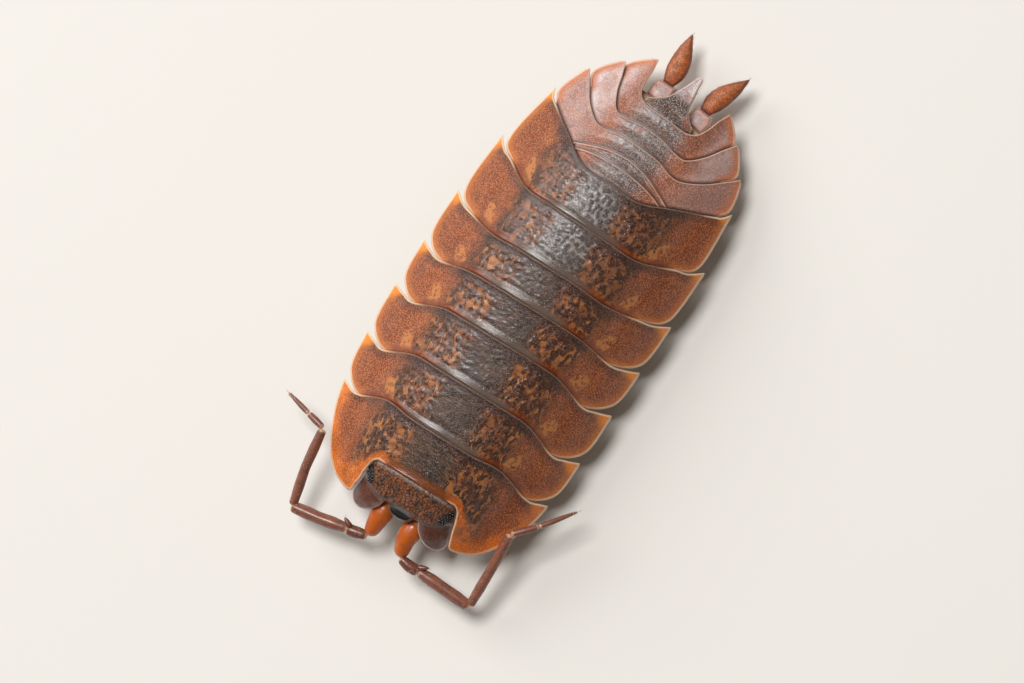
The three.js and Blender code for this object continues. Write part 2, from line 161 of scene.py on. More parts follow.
TAIL_FADES = [(0.95, 1.0), (0.95, 1.0), (0.66, 0.8), (0.62, 0.76), (0.62, 0.78)]
TAIL_TUCK = 0.22
TAIL_RECESS = 0.13
TELSON = {
    "rear": [
        [0, 7.92], [0.1, 7.86], [0.17, 7.55], [0.27, 7.2], [0.38, 6.86], [0.6, 6.6],
        [0.86, 6.42],
    ],
    "front": [
        [0, 6.29], [0.1, 6.29], [0.2, 6.28], [0.35, 6.28], [0.5, 6.28], [0.66, 6.28],
        [0.88, 6.32],
    ],
}
TELSON_THICKNESS = 0.2

# The head's top falls by "fall" at "fall_x" from the midline, and lies a little to one side.
HEAD = {
    "rear": -7.56, "rear_width": 1.5, "front_width": 1.73, "underside": 1.3, "thickness": 0.14,
    "fall": 0.62, "fall_x": 1.6, "aside": -0.04,
}
# Front outline of the head, from the middle lobe round a side lobe.
HEAD_LOBES = [
    [0.0, -8.9], [0.3, -8.84], [0.5, -8.6], [0.6, -8.6], [0.72, -8.86], [0.98, -9.1],
    [1.28, -9.2], [1.54, -9.14], [1.69, -8.97], [1.73, -8.78],
]
# Line between the top of the head and its lobes.
BROW = [[0.0, -8.5], [0.5, -8.52], [0.9, -8.5], [1.2, -8.38], [1.6, -8.1]]
EYE = {
    "x": 1.38, "y": -8.08, "turn": 0.45, "rows": 3, "beads": 6, "pitch": 0.1, "row_pitch": 0.062,
    "bead": 0.057,
}

LEGS = [
    {"y": -6.75, "foot": 2.95, "reach": -0.8},
    {"y": -5.0, "foot": 3.1, "reach": -0.75},
    {"y": -3.35, "foot": 3.25, "reach": -0.7},
    {"y": -1.8, "foot": 3.3, "reach": -0.35},
    {"y": -0.5, "foot": 3.3, "reach": 0.45},
    {"y": 1.0, "foot": 3.25, "reach": 0.75},
    {"y": 2.55, "foot": 3.0, "reach": 0.85},
]
COXA_X = 2.0
KNEE_X = 1.3
# Where a leg's articles beyond the knee end, as shares of the way from there to the claw, and the
# radii of all six articles at their thick and thin ends.
LEG_STOPS = (0.2, 0.42, 0.64, 0.93, 1.0)
LEG_RADII = ((0.2, 0.19), (0.17, 0.16), (0.16, 0.17), (0.15, 0.13), (0.12, 0.07), (0.06, 0.02))

# Joints of each antenna in the pose, in the finished model's plan, from the head outwards.
ANTENNAE = {
    "right": {
        "base": [[-0.25, -8.62, 1.75], [-0.26, -9.3, 1.6], [-0.24, -9.86, 1.4]],
        "article_3": [[-0.26, -9.88, 1.39], [-0.62, -10.0, 1.36], [-0.96, -10.08, 1.33]],
        "spur": [[-0.84, -9.98, 1.42], [-1.18, -9.8, 1.5]],
        "article_4": [[-0.93, -10.06, 1.33], [-1.9, -10.3, 1.27], [-2.82, -10.47, 1.2]],
        "article_5": [[-2.78, -10.44, 1.21], [-3.08, -9.2, 1.56], [-3.26, -7.88, 1.88]],
        "flagellum": [[-3.28, -7.84, 1.89], [-3.93, -7.72, 1.76], [-4.86, -7.54, 1.5]],
    },
    "left": {
        "base": [[0.85, -8.62, 1.75], [0.82, -9.3, 1.6], [0.96, -9.88, 1.4]],
        "article_3": [[0.98, -9.88, 1.39], [1.35, -9.95, 1.36], [1.72, -9.93, 1.33]],
        "spur": [[1.6, -9.84, 1.42], [1.94, -9.64, 1.5]],
        "article_4": [[1.7, -9.92, 1.33], [2.66, -9.93, 1.27], [3.64, -9.95, 1.2]],
        "article_5": [[3.63, -9.92, 1.22], [3.58, -8.6, 1.6], [3.5, -7.31, 1.97]],
        "flagellum": [[3.51, -7.3, 1.97], [4.1, -6.62, 1.85], [4.83, -5.56, 1.6]],
    },
}
ANTENNA_RADII = {
    "base": [0.28, 0.35, 0.28, 0.2],
    "article_3": [0.14, 0.19, 0.18],
    "spur": [0.11, 0.09, 0.03],
    "article_4": [0.15, 0.2, 0.19, 0.2, 0.17],
    "article_5": [0.13, 0.16, 0.15, 0.16, 0.13],
    "whip_root": [0.1, 0.12, 0.1],
    "whip": [0.085, 0.09, 0.07, 0.035],
}

UROPOD = {
    "protopod_inner": [[0.36, 6.46], [0.34, 6.8], [0.42, 7.2]],
    "protopod_outer": [[1.1, 6.48], [1.16, 6.84], [1.07, 7.16]],
    "exopod_inner": [[0.56, 7.14], [0.46, 7.6], [0.62, 8.15], [1.13, 8.83]],
    "exopod_outer": [[0.92, 7.14], [1.13, 7.6], [1.22, 8.25], [1.17, 8.83]],
    "endopod": [[0.15, 7.05, 1.0], [0.11, 7.3, 0.98], [0.08, 7.55, 0.95]],
}

# How bristles stand: the stretch of the limb that carries them, the angles round it, how deep their
# roots sit, how far they lean out and along, the spread of their lengths, their own radius and sides,
# and how pale they are. The antennae are given in the finished model's plan, so theirs aren't bowed.
ANTENNA_HAIR = {
    "stretch": (0.04, 0.98), "angles": (0, 2 * math.pi), "depth": 0.85, "out": 0.55, "along": 1.0,
    "lengths": (0.7, 1.3), "radius": 0.007, "sides": 4, "hair": 1.0, "bowed": False,
}
LEG_SPINES = {
    "stretch": (0.05, 0.97), "angles": (math.pi, 2 * math.pi), "depth": 0.8, "out": 1.0, "along": 0.8,
    "lengths": (0.6, 1.2), "radius": 0.011, "sides": 5, "hair": 0.35, "bowed": True,
}
PRONG_HAIR = {**LEG_SPINES, "angles": (0, 2 * math.pi), "along": 1.2, "radius": 0.006, "hair": 0.6}
# Which way a tuft leans that stands on one point.
TUFT_LEAN = [0.6, 0.6, 0.3]

SIDES = (("left", 1), ("right", -1))
BELLY_ENDS = (-7.35, 6.5)
# Spacing of the rings of a limb article.
RING_STEP = 0.06
# Columns across and rows along each kind of sheet.
GRIDS = {
    "back": (261, 74), "clasp": (301, 90), "short_tail": (181, 34), "long_tail": (221, 44),
    "telson": (121, 60), "head": (201, 110), "belly": (121, 320), "breathing": (35, 31), "flap": (41, 90),
}


def smooth(pairs):
    """A smooth curve through [position, value] pairs, as a function of arrays."""
    at, values = np.array(pairs, float).T
    last = len(at) - 1

    def curve(position):
        position = np.clip(position, at[0], at[-1])
        after = np.clip(np.searchsorted(at, position, side="right"), 1, last)
        start, end = at[after - 1], at[after]
        first, final = after == 1, after == last
        before = np.where(first, after, after - 2)
        beyond = np.where(final, after - 1, np.minimum(after + 1, last))
        half = (end - start) / 2
        lead = half / (start - at[before])
        trail = half / (at[beyond] - end)
        share = (position - start) / (end - start)
        square, cube = share ** 2, share ** 3
        return (
            lead * (2 * square - cube - share) * values[before]
            + ((1 + lead) * cube - (1.5 + 2 * lead) * square + (lead - 0.5) * share + 1) * values[after - 1]
            + (-(1 + trail) * cube + (1.5 + trail) * square + 0.5 * share) * values[after]
            + trail * (cube - square) * values[beyond]
        )

    return curve


def plan_curve(points):
    """A smooth plan curve through points, as a function of a share from 0 to 1."""
    points = np.array(points, float)
    last = len(points) - 1

    def curve(share):
        run = np.clip(share, 0, 1) * last
        i = np.minimum(run.astype(int), last)
        w = (run - i)[..., None]
        p0, p1 = points[np.maximum(i - 1, 0)], points[i]
        p2, p3 = points[np.minimum(i + 1, last)], points[np.minimum(i + 2, last)]
        v0, v1 = (p2 - p0) / 2, (p3 - p1) / 2
        return (2 * p1 - 2 * p2 + v0 + v1) * w ** 3 + (3 * p2 - 3 * p1 - 2 * v0 - v1) * w ** 2 + v0 * w + p1

    return curve


def step(value, low, high):
    """0 below low, 1 above high and a smooth rise between them."""
    share = np.clip((value - low) / (high - low), 0, 1)
    return share * share * (3 - 2 * share)


def bump(value, centre, width):
    return np.exp(-(((value - centre) / width) ** 2))


def bunched(share, amount):
    """Shares from 0 to 1, drawn closer together towards both ends."""
    return share - amount * np.sin(2 * np.pi * share) / (2 * np.pi)


def rounding(distance, reach):
    """Height share of a rounded margin: 0 at its edge and 1 from reach inwards."""
    return np.sqrt(np.clip(1 - (1 - np.minimum(distance / reach, 1)) ** 2, 0, 1))


def mound(distance, radius):
    """Height share of a round bump: 1 at its centre and 0 from radius outwards."""
    return np.clip(1 - (distance / radius) ** 2, 0, 1)


crest, rim, envelope = smooth(CREST), smooth(RIM), smooth(ENVELOPE)
section, belly_line = smooth(SECTION), smooth(BELLY)


def back_height(x, y):
    return rim(y) + (crest(y) - rim(y)) * section(np.abs(x) / envelope(y))


def belly_height(x, y):
    outside = step(np.abs(x) / envelope(y), 0.55, 0.74)
    thin = back_height(x, y) - RIM_THICKNESS
    inside = np.minimum(belly_line(y), thin)
    return inside + (thin - inside) * outside


# Where the straight frame's origin lies in the finished model.
PLATE_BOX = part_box("pereonite_4")
SHIFT_X = (PLATE_BOX[0][0] + PLATE_BOX[1][0]) / 2 / MM - 0.005
SHIFT_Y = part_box("telson")[1][1] / MM - TELSON["rear"][0][1]


def placed(points, bowed=True):
    """Points in metres in the finished model."""
    x, y, z = np.array(points, float).T
    if bowed:
        run = (y - BOW["middle"]) / BOW["reach"]
        amount = np.where(run < 0, BOW["head"], BOW["tail"])
        slope = 2 * amount * run / BOW["reach"]
        skew = SKEW["head"] + SKEW["growth"] * step(y, -6.5, -1.0)
        x, y = amount * run ** 2 + x * np.cos(slope), y + x * (skew - np.sin(slope))
    return np.stack([x + SHIFT_X, y + SHIFT_Y, z], axis=1) * MM


def distance_to(line, x, y):
    """Distance in plan from each point to a line through points."""
    nearest = np.full(x.shape, np.inf)
    for (x0, y0), (x1, y1) in zip(line[:-1], line[1:]):
        dx, dy = x1 - x0, y1 - y0
        share = np.clip(((x - x0) * dx + (y - y0) * dy) / max(dx * dx + dy * dy, 1e-12), 0, 1)
        nearest = np.minimum(nearest, (x - x0 - share * dx) ** 2 + (y - y0 - share * dy) ** 2)
    return np.sqrt(nearest)


def scatter(column, row, seed):
    """A repeatable random share for each cell of a grid."""
    value = np.sin(column * 127.1 + row * 311.7 + seed * 74.7) * 43758.5453
    return value - np.floor(value)


def cells(x, y, size, seed):
    """Irregular cells: distance to the nearest centre, in cell sizes, and each cell's random share."""
    border, spread = 0.15, 0.7
    gx, gy = x / size, y / size
    column, row = np.floor(gx), np.floor(gy)
    nearest, share = np.full(x.shape, 9.0), np.zeros(x.shape)
    for i in (-1, 0, 1):
        for j in (-1, 0, 1):
            c, r = column + i, row + j
            away = np.hypot(
                gx - c - border - spread * scatter(c, r, seed),
                gy - r - border - spread * scatter(c, r, seed + 1),
            )
            share = np.where(away < nearest, scatter(c, r, seed + 2), share)
            nearest = np.minimum(away, nearest)
    return nearest, share


def waves(x, y, size, seed):
    """Soft random relief between -1 and 1."""
    gx, gy = x / size, y / size
    column, row = np.floor(gx), np.floor(gy)
    u, v = gx - column, gy - row
    u, v = u * u * (3 - 2 * u), v * v * (3 - 2 * v)
    low = scatter(column, row, seed) * (1 - u) + scatter(column + 1, row, seed) * u
    high = scatter(column, row + 1, seed) * (1 - u) + scatter(column + 1, row + 1, seed) * u
    return 2 * (low * (1 - v) + high * v) - 1


class Heap:
    """The points, faces and named values of one piece, gathered part by part."""

    def __init__(self):
        self.points, self.faces, self.values, self.count = [], [], [], 0

    def add(self, points, faces, bowed=True, **values):
        self.points.append(placed(points, bowed))
        self.faces.extend(tuple(int(i) + self.count for i in face) for face in faces)
        self.values.append((len(points), values))
        self.count += len(points)

    def piece(self, name, material, slot, *nodes):
        """Makes the object, which rides on the one body and stands for its solids."""
        mesh = bpy.data.meshes.new(name)
        mesh.from_pydata(np.concatenate(self.points).tolist(), [], self.faces)
        for key in sorted({key for _, values in self.values for key in values}):
            parts = [np.broadcast_to(values.get(key, 0.0), count) for count, values in self.values]
            mesh.attributes.new(key, "FLOAT", "POINT").data.foreach_set("value", np.concatenate(parts))
        mesh.polygons.foreach_set("use_smooth", [True] * len(mesh.polygons))
        mesh.materials.append(material)
        mesh.validate()
        made = bpy.data.objects.new(name, mesh)
        bpy.context.scene.collection.objects.link(made)
        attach(made, "root")
        if nodes:
            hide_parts(*nodes)


def closed_sheet(rows, columns):
    """Faces of a closed sheet: a top and a bottom grid that share their edge points.

    Returns the faces and a mask that marks the bottom grid's own points.
    """
    top = np.arange(rows * columns).reshape(rows, columns)
    bottom = top.copy()
    inner = np.zeros((rows, columns), bool)
    inner[1:-1, 1:-1] = True
    bottom[inner] = rows * columns + np.arange(inner.sum())

    def quads(grid):
        corners = [grid[:-1, :-1], grid[:-1, 1:], grid[1:, 1:], grid[1:, :-1]]
        return np.stack([corner.ravel() for corner in corners], axis=1)

    return np.concatenate([quads(top), quads(bottom)[:, ::-1]]).tolist(), inner


def add_sheet(heap, x, y, top, bottom, **values):
    """Adds a closed sheet between two height grids over one plan grid."""
    rows, columns = x.shape
    faces, inner = closed_sheet(rows, columns)
    upper = np.stack([x.ravel(), y.ravel(), top.ravel()], axis=1)
    lower = np.stack([x[inner], y[inner], bottom[inner]], axis=1)
    joined = {key: np.concatenate([value.ravel(), value[inner]]) for key, value in values.items()}
    joined["under"] = np.concatenate([np.zeros(x.size), np.ones(int(inner.sum()))])
    heap.add(np.concatenate([upper, lower]), faces, **joined)


def path_lengths(path):
    """Distance along a path to each of its points."""
    return np.concatenate([[0], np.cumsum(np.linalg.norm(np.diff(path, axis=0), axis=1))])


def along_path(path, lengths, run):
    """The point, or points, at a given distance along a path."""
    return np.stack([np.interp(run, lengths, path[:, axis]) for axis in range(3)], axis=-1)


def square_to(travel):
    """Two directions square to each direction of travel, of which the first is level."""
    wide = np.cross(travel, [0, 0, 1.0])
    wide /= np.linalg.norm(wide, axis=-1, keepdims=True) + 1e-9
    return wide, np.cross(wide, travel)


def ring_faces(rows, sides):
    """Faces of a closed form that is a point, rows of rings and another point."""
    grid = 1 + np.arange(rows * sides).reshape(rows, sides)
    turned = np.roll(grid, -1, axis=1)
    faces = np.stack([grid[:-1], grid[1:], turned[1:], turned[:-1]], axis=-1).reshape(-1, 4).tolist()
    faces += [(0, a, b) for a, b in zip(grid[0], turned[0])]
    faces += [(rows * sides + 1, b, a) for a, b in zip(grid[-1], turned[-1])]
    return faces


def rod(path, radii, sides=14, flat=1.0, ridges=0.0):
    """Points and faces of a closed limb article along a path, with its distance from the nearer end."""
    path = np.array(path, float)
    lengths = path_lengths(path)
    count = max(6, int(lengths[-1] / RING_STEP))
    along = bunched(np.linspace(0, 1, count), 0.75)
    run = along * lengths[-1]
    centre = along_path(path, lengths, run)
    end = np.minimum(run, lengths[-1] - run)
    radius = np.interp(along, np.linspace(0, 1, len(radii)), radii)
    radius = radius * rounding(end, np.minimum(0.6 * radius.max(), lengths[-1] / 4))
    travel = np.gradient(centre, axis=0)
    travel /= np.linalg.norm(travel, axis=1)[:, None]
    wide, deep = square_to(travel)
    angle = np.linspace(0, 2 * np.pi, sides, endpoint=False)
    swell = 1 + ridges * np.cos(4 * angle)
    inner = slice(1, -1)
    ring = centre[inner, None, :] + radius[inner, None, None] * swell[None, :, None] * (
        np.cos(angle)[None, :, None] * wide[inner, None, :]
        + flat * np.sin(angle)[None, :, None] * deep[inner, None, :]
    )
    points = np.concatenate([centre[:1], ring.reshape(-1, 3), centre[-1:]])
    reach = np.concatenate([[0], np.repeat(end[inner], sides), [0]])
    return points, ring_faces(count - 2, sides), reach


def ball(centre, radius, rings=8, sides=12):
    """Points and faces of a small ball."""
    polar = np.linspace(0, np.pi, rings + 1)[1:-1]
    angle = np.linspace(0, 2 * np.pi, sides, endpoint=False)
    ring = np.stack([
        np.outer(np.sin(polar), np.cos(angle)),
        np.outer(np.sin(polar), np.sin(angle)),
        np.outer(np.cos(polar), np.ones(sides)),
    ], axis=-1).reshape(-1, 3)
    points = np.array(centre, float) + radius * np.concatenate([[[0, 0, 1]], ring, [[0, 0, -1]]])
    return points, ring_faces(rings - 1, sides)


def spike(root, tip, radius, sides=5):
    """Points and faces of a fine closed bristle."""
    root, tip = np.array(root, float), np.array(tip, float)
    travel = (tip - root) / np.linalg.norm(tip - root)
    wide = np.cross(travel, [0.3, 0.2, 1.0])
    wide /= np.linalg.norm(wide)
    deep = np.cross(travel, wide)
    angle = np.linspace(0, 2 * np.pi, sides, endpoint=False)[:, None]
    ring = root + radius * (np.cos(angle) * wide + np.sin(angle) * deep)
    points = np.concatenate([ring, [tip]])
    faces = [(i, (i + 1) % sides, sides) for i in range(sides)]
    return points, faces + [tuple(range(sides - 1, -1, -1))]


def bristles(heap, path, radius, draw, count, length, style):
    """Sets bristles round a limb article that runs along a path, leaning towards its far end."""
    path = np.array(path, float)
    lengths = path_lengths(path)
    travel = path[-1] - path[0]
    size = np.linalg.norm(travel)
    travel = travel / size if size else np.array(TUFT_LEAN)
    wide, deep = square_to(travel)
    for _ in range(count):
        centre = along_path(path, lengths, draw.uniform(*style["stretch"]) * lengths[-1])
        angle = draw.uniform(*style["angles"])
        out = math.cos(angle) * wide + math.sin(angle) * deep
        root = centre + out * radius * style["depth"]
        lean = style["out"] * out + style["along"] * travel
        tip = root + lean * length * draw.uniform(*style["lengths"])
        made = spike(root, tip, style["radius"], style["sides"])
        heap.add(*made, style["bowed"], hair=style["hair"])


def paint(red, green, blue):
    """A colour given as 0 to 255 on screen, as light."""
    shares = [channel / 255 for channel in (red, green, blue)]
    return tuple(s / 12.92 if s <= 0.04045 else ((s + 0.055) / 1.055) ** 2.4 for s in shares)


class Finish:
    """One material, built node by node."""

    COAT_ROUGHNESS = 0.22
    SHEEN_TINT = (0.75, 0.82, 1.0, 1.0)
    SCATTER_SHARE = 0.35
    # How far red, green and blue light spread under the surface, as shares of the depth.
    SCATTER_SPREAD = (1.0, 0.45, 0.2)

    def __init__(self, name, roughness=0.45, coat=0.0, sheen=0.0, scatter_depth=0.0):
        self.material = bpy.data.materials.new(name + "_finish")
        self.material.use_nodes = True
        self.tree = self.material.node_tree
        self.shader = self.tree.nodes["Principled BSDF"]
        self.shader.inputs["Roughness"].default_value = roughness
        self.shader.inputs["Coat Weight"].default_value = coat
        self.shader.inputs["Coat Roughness"].default_value = self.COAT_ROUGHNESS
        self.shader.inputs["IOR"].default_value = CHITIN_IOR
        self.shader.inputs["Sheen Weight"].default_value = sheen
        self.shader.inputs["Sheen Tint"].default_value = self.SHEEN_TINT
        if scatter_depth:
            self.shader.inputs["Subsurface Weight"].default_value = self.SCATTER_SHARE
            self.shader.inputs["Subsurface Scale"].default_value = scatter_depth * MM
            self.shader.inputs["Subsurface Radius"].default_value = self.SCATTER_SPREAD

    def node(self, kind, **settings):
        made = self.tree.nodes.new("ShaderNode" + kind)
        for key, value in settings.items():
            setattr(made, key, value)
        return made

    def feed(self, socket, value):
        if isinstance(value, bpy.types.NodeSocket):
            self.tree.links.new(value, socket)
        elif isinstance(value, tuple) and len(value) == 3 and socket.type == "RGBA":
            socket.default_value = (*value, 1.0)
        else:
            socket.default_value = value

    def value(self, name):
        """A value stored on the piece's points."""
        return self.node("Attribute", attribute_name=name).outputs["Fac"]

    def place(self, stretch=(1, 1, 1)):
        """The surface's place in millimetres, stretched along each axis."""
        made = self.node("VectorMath", operation="MULTIPLY")
        self.feed(made.inputs[0], self.node("TexCoord").outputs["Object"])
        made.inputs[1].default_value = tuple(s / MM for s in stretch)
        return made.outputs[0]

    def noise(self, place, size, detail=2.0, distortion=0.0):
        made = self.node("TexNoise")
        self.feed(made.inputs["Vector"], place)
        made.inputs["Scale"].default_value = 1 / size
        made.inputs["Detail"].default_value = detail
        made.inputs["Distortion"].default_value = distortion
        return made.outputs["Fac"]

    def grains(self, place, size, feature="F1"):
        """Distance to the nearest centre of scattered cells, or to their borders."""
        made = self.node("TexVoronoi", feature=feature)
        self.feed(made.inputs["Vector"], place)
        made.inputs["Scale"].default_value = 1 / size
        return made.outputs["Distance"]

    def ramp(self, value, low, high, to_low=0.0, to_high=1.0):
        """A smooth rise, or fall, of a value between two limits."""
        made = self.node("MapRange", interpolation_type="SMOOTHSTEP")
        for socket, given in zip(made.inputs[:5], (value, low, high, to_low, to_high)):
            self.feed(socket, given)
        return made.outputs["Result"]

    def maths(self, operation, first, second=0.0):
        made = self.node("Math", operation=operation)
        self.feed(made.inputs[0], first)
        self.feed(made.inputs[1], second)
        return made.outputs[0]

    def total(self, first, second):
        return self.maths("ADD", first, second)

    def rest(self, share):
        """What a share leaves of the whole."""
        return self.maths("SUBTRACT", 1.0, share)

    def product(self, *values):
        result = values[0]
        for value in values[1:]:
            result = self.maths("MULTIPLY", result, value)
        return result

    def blend(self, share, base, over):
        made = self.node("Mix", data_type="RGBA", blend_type="MIX")
        self.feed(made.inputs[0], share)
        self.feed(made.inputs[6], base)
        self.feed(made.inputs[7], over)
        return made.outputs[2]

    def lay(self, base, over, *shares):
        """Lays one colour over another, as far as the product of the shares says."""
        return self.blend(self.product(*shares), base, over)

    def warped(self, place, size, reach):
        """A place that a soft noise pushes about."""
        wobble = self.node("TexNoise")
        self.feed(wobble.inputs["Vector"], place)
        wobble.inputs["Scale"].default_value = 1 / size
        scaled = self.node("VectorMath", operation="SCALE")
        self.feed(scaled.inputs[0], wobble.outputs["Color"])
        scaled.inputs["Scale"].default_value = reach
        made = self.node("VectorMath", operation="ADD")
        self.feed(made.inputs[0], place)
        self.feed(made.inputs[1], scaled.outputs[0])
        return made.outputs[0]

    def relief(self, height, depth, before=None):
        """Fine relief, depth in millimetres."""
        made = self.node("Bump")
        made.inputs["Strength"].default_value = 1.0
        made.inputs["Distance"].default_value = depth * MM
        self.feed(made.inputs["Height"], height)
        if before is not None:
            self.feed(made.inputs["Normal"], before)
        return made.outputs["Normal"]

    def done(self, colour, roughness=None, normal=None):
        self.feed(self.shader.inputs["Base Color"], colour)
        if roughness is not None:
            self.feed(self.shader.inputs["Roughness"], roughness)
        if normal is not None:
            self.feed(self.shader.inputs["Normal"], normal)
        return self.material


def colour_property(name, description, colour):
    return bpy.props.FloatVectorProperty(
        name=name, description=description, subtype="COLOR", size=3, min=0, max=1, default=colour
    )


def length_property(name, description, millimetres):
    return bpy.props.FloatProperty(
        name=name, description=description, unit="LENGTH", precision=5, min=0, default=millimetres * MM
    )


class WoodlouseShellSettings(bpy.types.PropertyGroup):
    """Sizes and colours of the shell plates."""

    thickness: length_property("Plate thickness", "Thickness of a shell plate at its free margin", 0.13)
    overlap: length_property("Overlap", "How far a plate reaches under the one before it", 0.42)
    tubercles: length_property("Tubercle height", "Height of the bumps on the back", 0.04)
    granule: length_property("Granule size", "Size of the fine grains on the plates", 0.044)
    flank: colour_property("Flank", "Colour of the side flaps", paint(214, 122, 62))
    dark: colour_property("Dark shell", "Colour of the shell between the spots", paint(58, 31, 19))
    spots: colour_property("Spots", "Colour of the tan spots", paint(202, 128, 62))
    middle: colour_property("Middle band", "Colour of the band along the back", paint(64, 50, 42))
    corner: colour_property(
        "Corner", "Colour of the translucent corners and front lobes", paint(255, 146, 8)
    )
    margin: colour_property("Margin", "Colour of the pale rim", paint(240, 210, 176))
    tail: colour_property("Tail", "Colour of the tail plates", paint(224, 138, 90))
    # The tail's lilac-grey is partly the shell's own colour and partly a painted sheen.
    bloom: colour_property("Bloom", "Lilac-grey bloom on the tail", paint(240, 222, 220))


class WoodlouseHeadSettings(bpy.types.PropertyGroup):
    """Colours of the head and eyes."""

    net: colour_property("Net", "Dark lines on the top of the head", paint(50, 27, 16))
    mesh: colour_property("Mesh", "Colour between the dark lines", paint(150, 82, 36))
    lobes: colour_property("Lobes", "Colour of the side lobes", paint(84, 42, 27))
    eyes: colour_property("Eyes", "Colour of the eye beads", paint(8, 6, 6))


class WoodlouseLimbSettings(bpy.types.PropertyGroup):
    """Colours of the antennae, legs and underside."""

    antenna: colour_property("Antenna", "Colour of the free antenna articles", paint(172, 108, 84))
    antenna_base: colour_property("Antenna base", "Colour of the first two articles", paint(190, 92, 22))
    joint: colour_property("Joint", "Colour of the soft skin at the joints", paint(226, 186, 158))
    leg: colour_property("Leg", "Colour of the legs", paint(196, 160, 128))
    belly: colour_property("Belly", "Colour of the underside", paint(214, 192, 166))
    exopod: colour_property("Tail fork", "Colour of the outer tail prongs", paint(206, 110, 46))


class WoodlouseStageSettings(bpy.types.PropertyGroup):
    """The camera, lights and floor."""

    floor: colour_property("Floor", "Colour of the floor", paint(236, 232, 226))
    turn: bpy.props.FloatProperty(
        name="Turn", description="How far the picture is turned from the body's axis",
        subtype="ANGLE", default=math.radians(34),
    )
    tilt: bpy.props.FloatProperty(
        name="Tilt", description="How far the camera leans to the animal's left",
        subtype="ANGLE", default=math.radians(5.2),
    )
    distance: length_property("Distance", "From the camera to the middle of the picture", 134.4)
    key: bpy.props.FloatProperty(
        name="Main light", description="Power of the main light", default=1.2, min=0
    )
    side: bpy.props.FloatProperty(
        name="Side light", description="Power of the side light", default=0.95, min=0
    )
    fill: bpy.props.FloatProperty(name="Fill", description="Brightness all round", default=0.14, min=0)


# Relief of a shell plate: how deep its grains, striae and wrinkles are, and the pitch of the striae.
GRAIN_DEPTH = 0.008
STRIA_DEPTH = 0.0016
WRINKLE_DEPTH = 0.002
STRIA_PITCH = 0.045


def shell_base(f, settings):
    """Grain, mottling and the stored values that both shell finishes share."""
    base = {key: f.value(key) for key in ("across", "front", "rear", "side", "edge", "under")}
    base["place"] = f.place()
    base["grain"] = f.ramp(f.grains(base["place"], settings.granule / MM), 0.12, 0.6, 1.0, 0.0)
    base["mottle"] = f.noise(base["place"], 0.55, 3.0)
    base["speck"] = f.total(f.product(base["grain"], 0.75), f.product(base["mottle"], 0.45))
    base["band"] = f.ramp(base["front"], 0.16, 0.27, 1.0, 0.0)
    return base


def shell_relief(f, base):
    """Grains, fine wrinkles and the striae of the sliding front band."""
    smoothed = f.product(base["band"], f.ramp(base["across"], 2.4, 1.4, 0.35, 0.85))
    grains = f.relief(f.product(base["grain"], f.rest(smoothed)), GRAIN_DEPTH)
    lines = f.maths("SINE", f.product(base["front"], 2 * math.pi / STRIA_PITCH))
    scored = f.relief(f.product(lines, base["band"]), STRIA_DEPTH, grains)
    return f.relief(f.noise(base["place"], 0.03, 1.0), WRINKLE_DEPTH, scored)


def back_ground(f, settings, base):
    """Granular flanks, the darker shell between them and the tan spots of its shoulders."""
    across, speck = base["across"], base["speck"]
    flank = f.blend(f.ramp(speck, 0.15, 0.95), paint(120, 55, 20), tuple(settings.flank))
    dark = f.blend(f.ramp(speck, 0.2, 0.95), tuple(settings.dark), paint(120, 71, 44))
    shoulder = f.product(
        f.ramp(across, 0.55, 0.95), f.ramp(across, 2.5, 2.1),
        f.ramp(base["front"], 0.08, 0.24), f.ramp(base["rear"], 0.22, 0.36),
    )
    spotted = f.product(base["islands"], shoulder, f.value("spots"))
    return f.lay(f.blend(base["flank_zone"], dark, flank), base["spot_colour"], spotted, 0.7)


def back_middle(f, settings, base, colour):
    """The grey-brown band along the back, its pale grains with painted glints, and the pale net between the
    bumps, partly a painted sheen.
    """
    place, across, net = base["place"], base["across"], f.value("net")
    zone = f.ramp(f.total(across, f.product(base["mottle"], 0.6)), 0.85, 1.2, 1.0, 0.0)
    grey = f.blend(f.ramp(net, 0.5, 1.0), paint(84, 57, 40), tuple(settings.middle))
    middle = f.blend(f.ramp(base["mottle"], 0.35, 0.65), grey, paint(46, 33, 27))
    colour = f.lay(colour, middle, zone, 0.8)
    # Pale grains: partly the grains' pale tops, partly painted glints.
    pale_grains_and_glints = f.product(f.ramp(base["grain"], 0.5, 0.9), zone, f.ramp(f.noise(place, 0.25), 0.35, 0.6))
    colour = f.lay(colour, paint(166, 150, 138), pale_grains_and_glints, 0.5)
    # Pale net between the bumps: partly its own pale colour, partly a painted sheen off the grains.
    net_and_sheen_mask = f.product(
        net, f.ramp(f.value("dome"), 0.55, 0.15), f.ramp(across, 2.2, 1.7),
        f.ramp(base["front"], 0.14, 0.28), f.ramp(f.noise(place, 0.4), 0.35, 0.6, 0.4, 1.0),
    )
    net_and_sheen_colour = f.blend(f.ramp(net, 0.5, 1.0), paint(120, 98, 82), paint(166, 158, 152))
    return f.lay(colour, f.blend(zone, paint(158, 104, 74), net_and_sheen_colour), net_and_sheen_mask, 0.6)


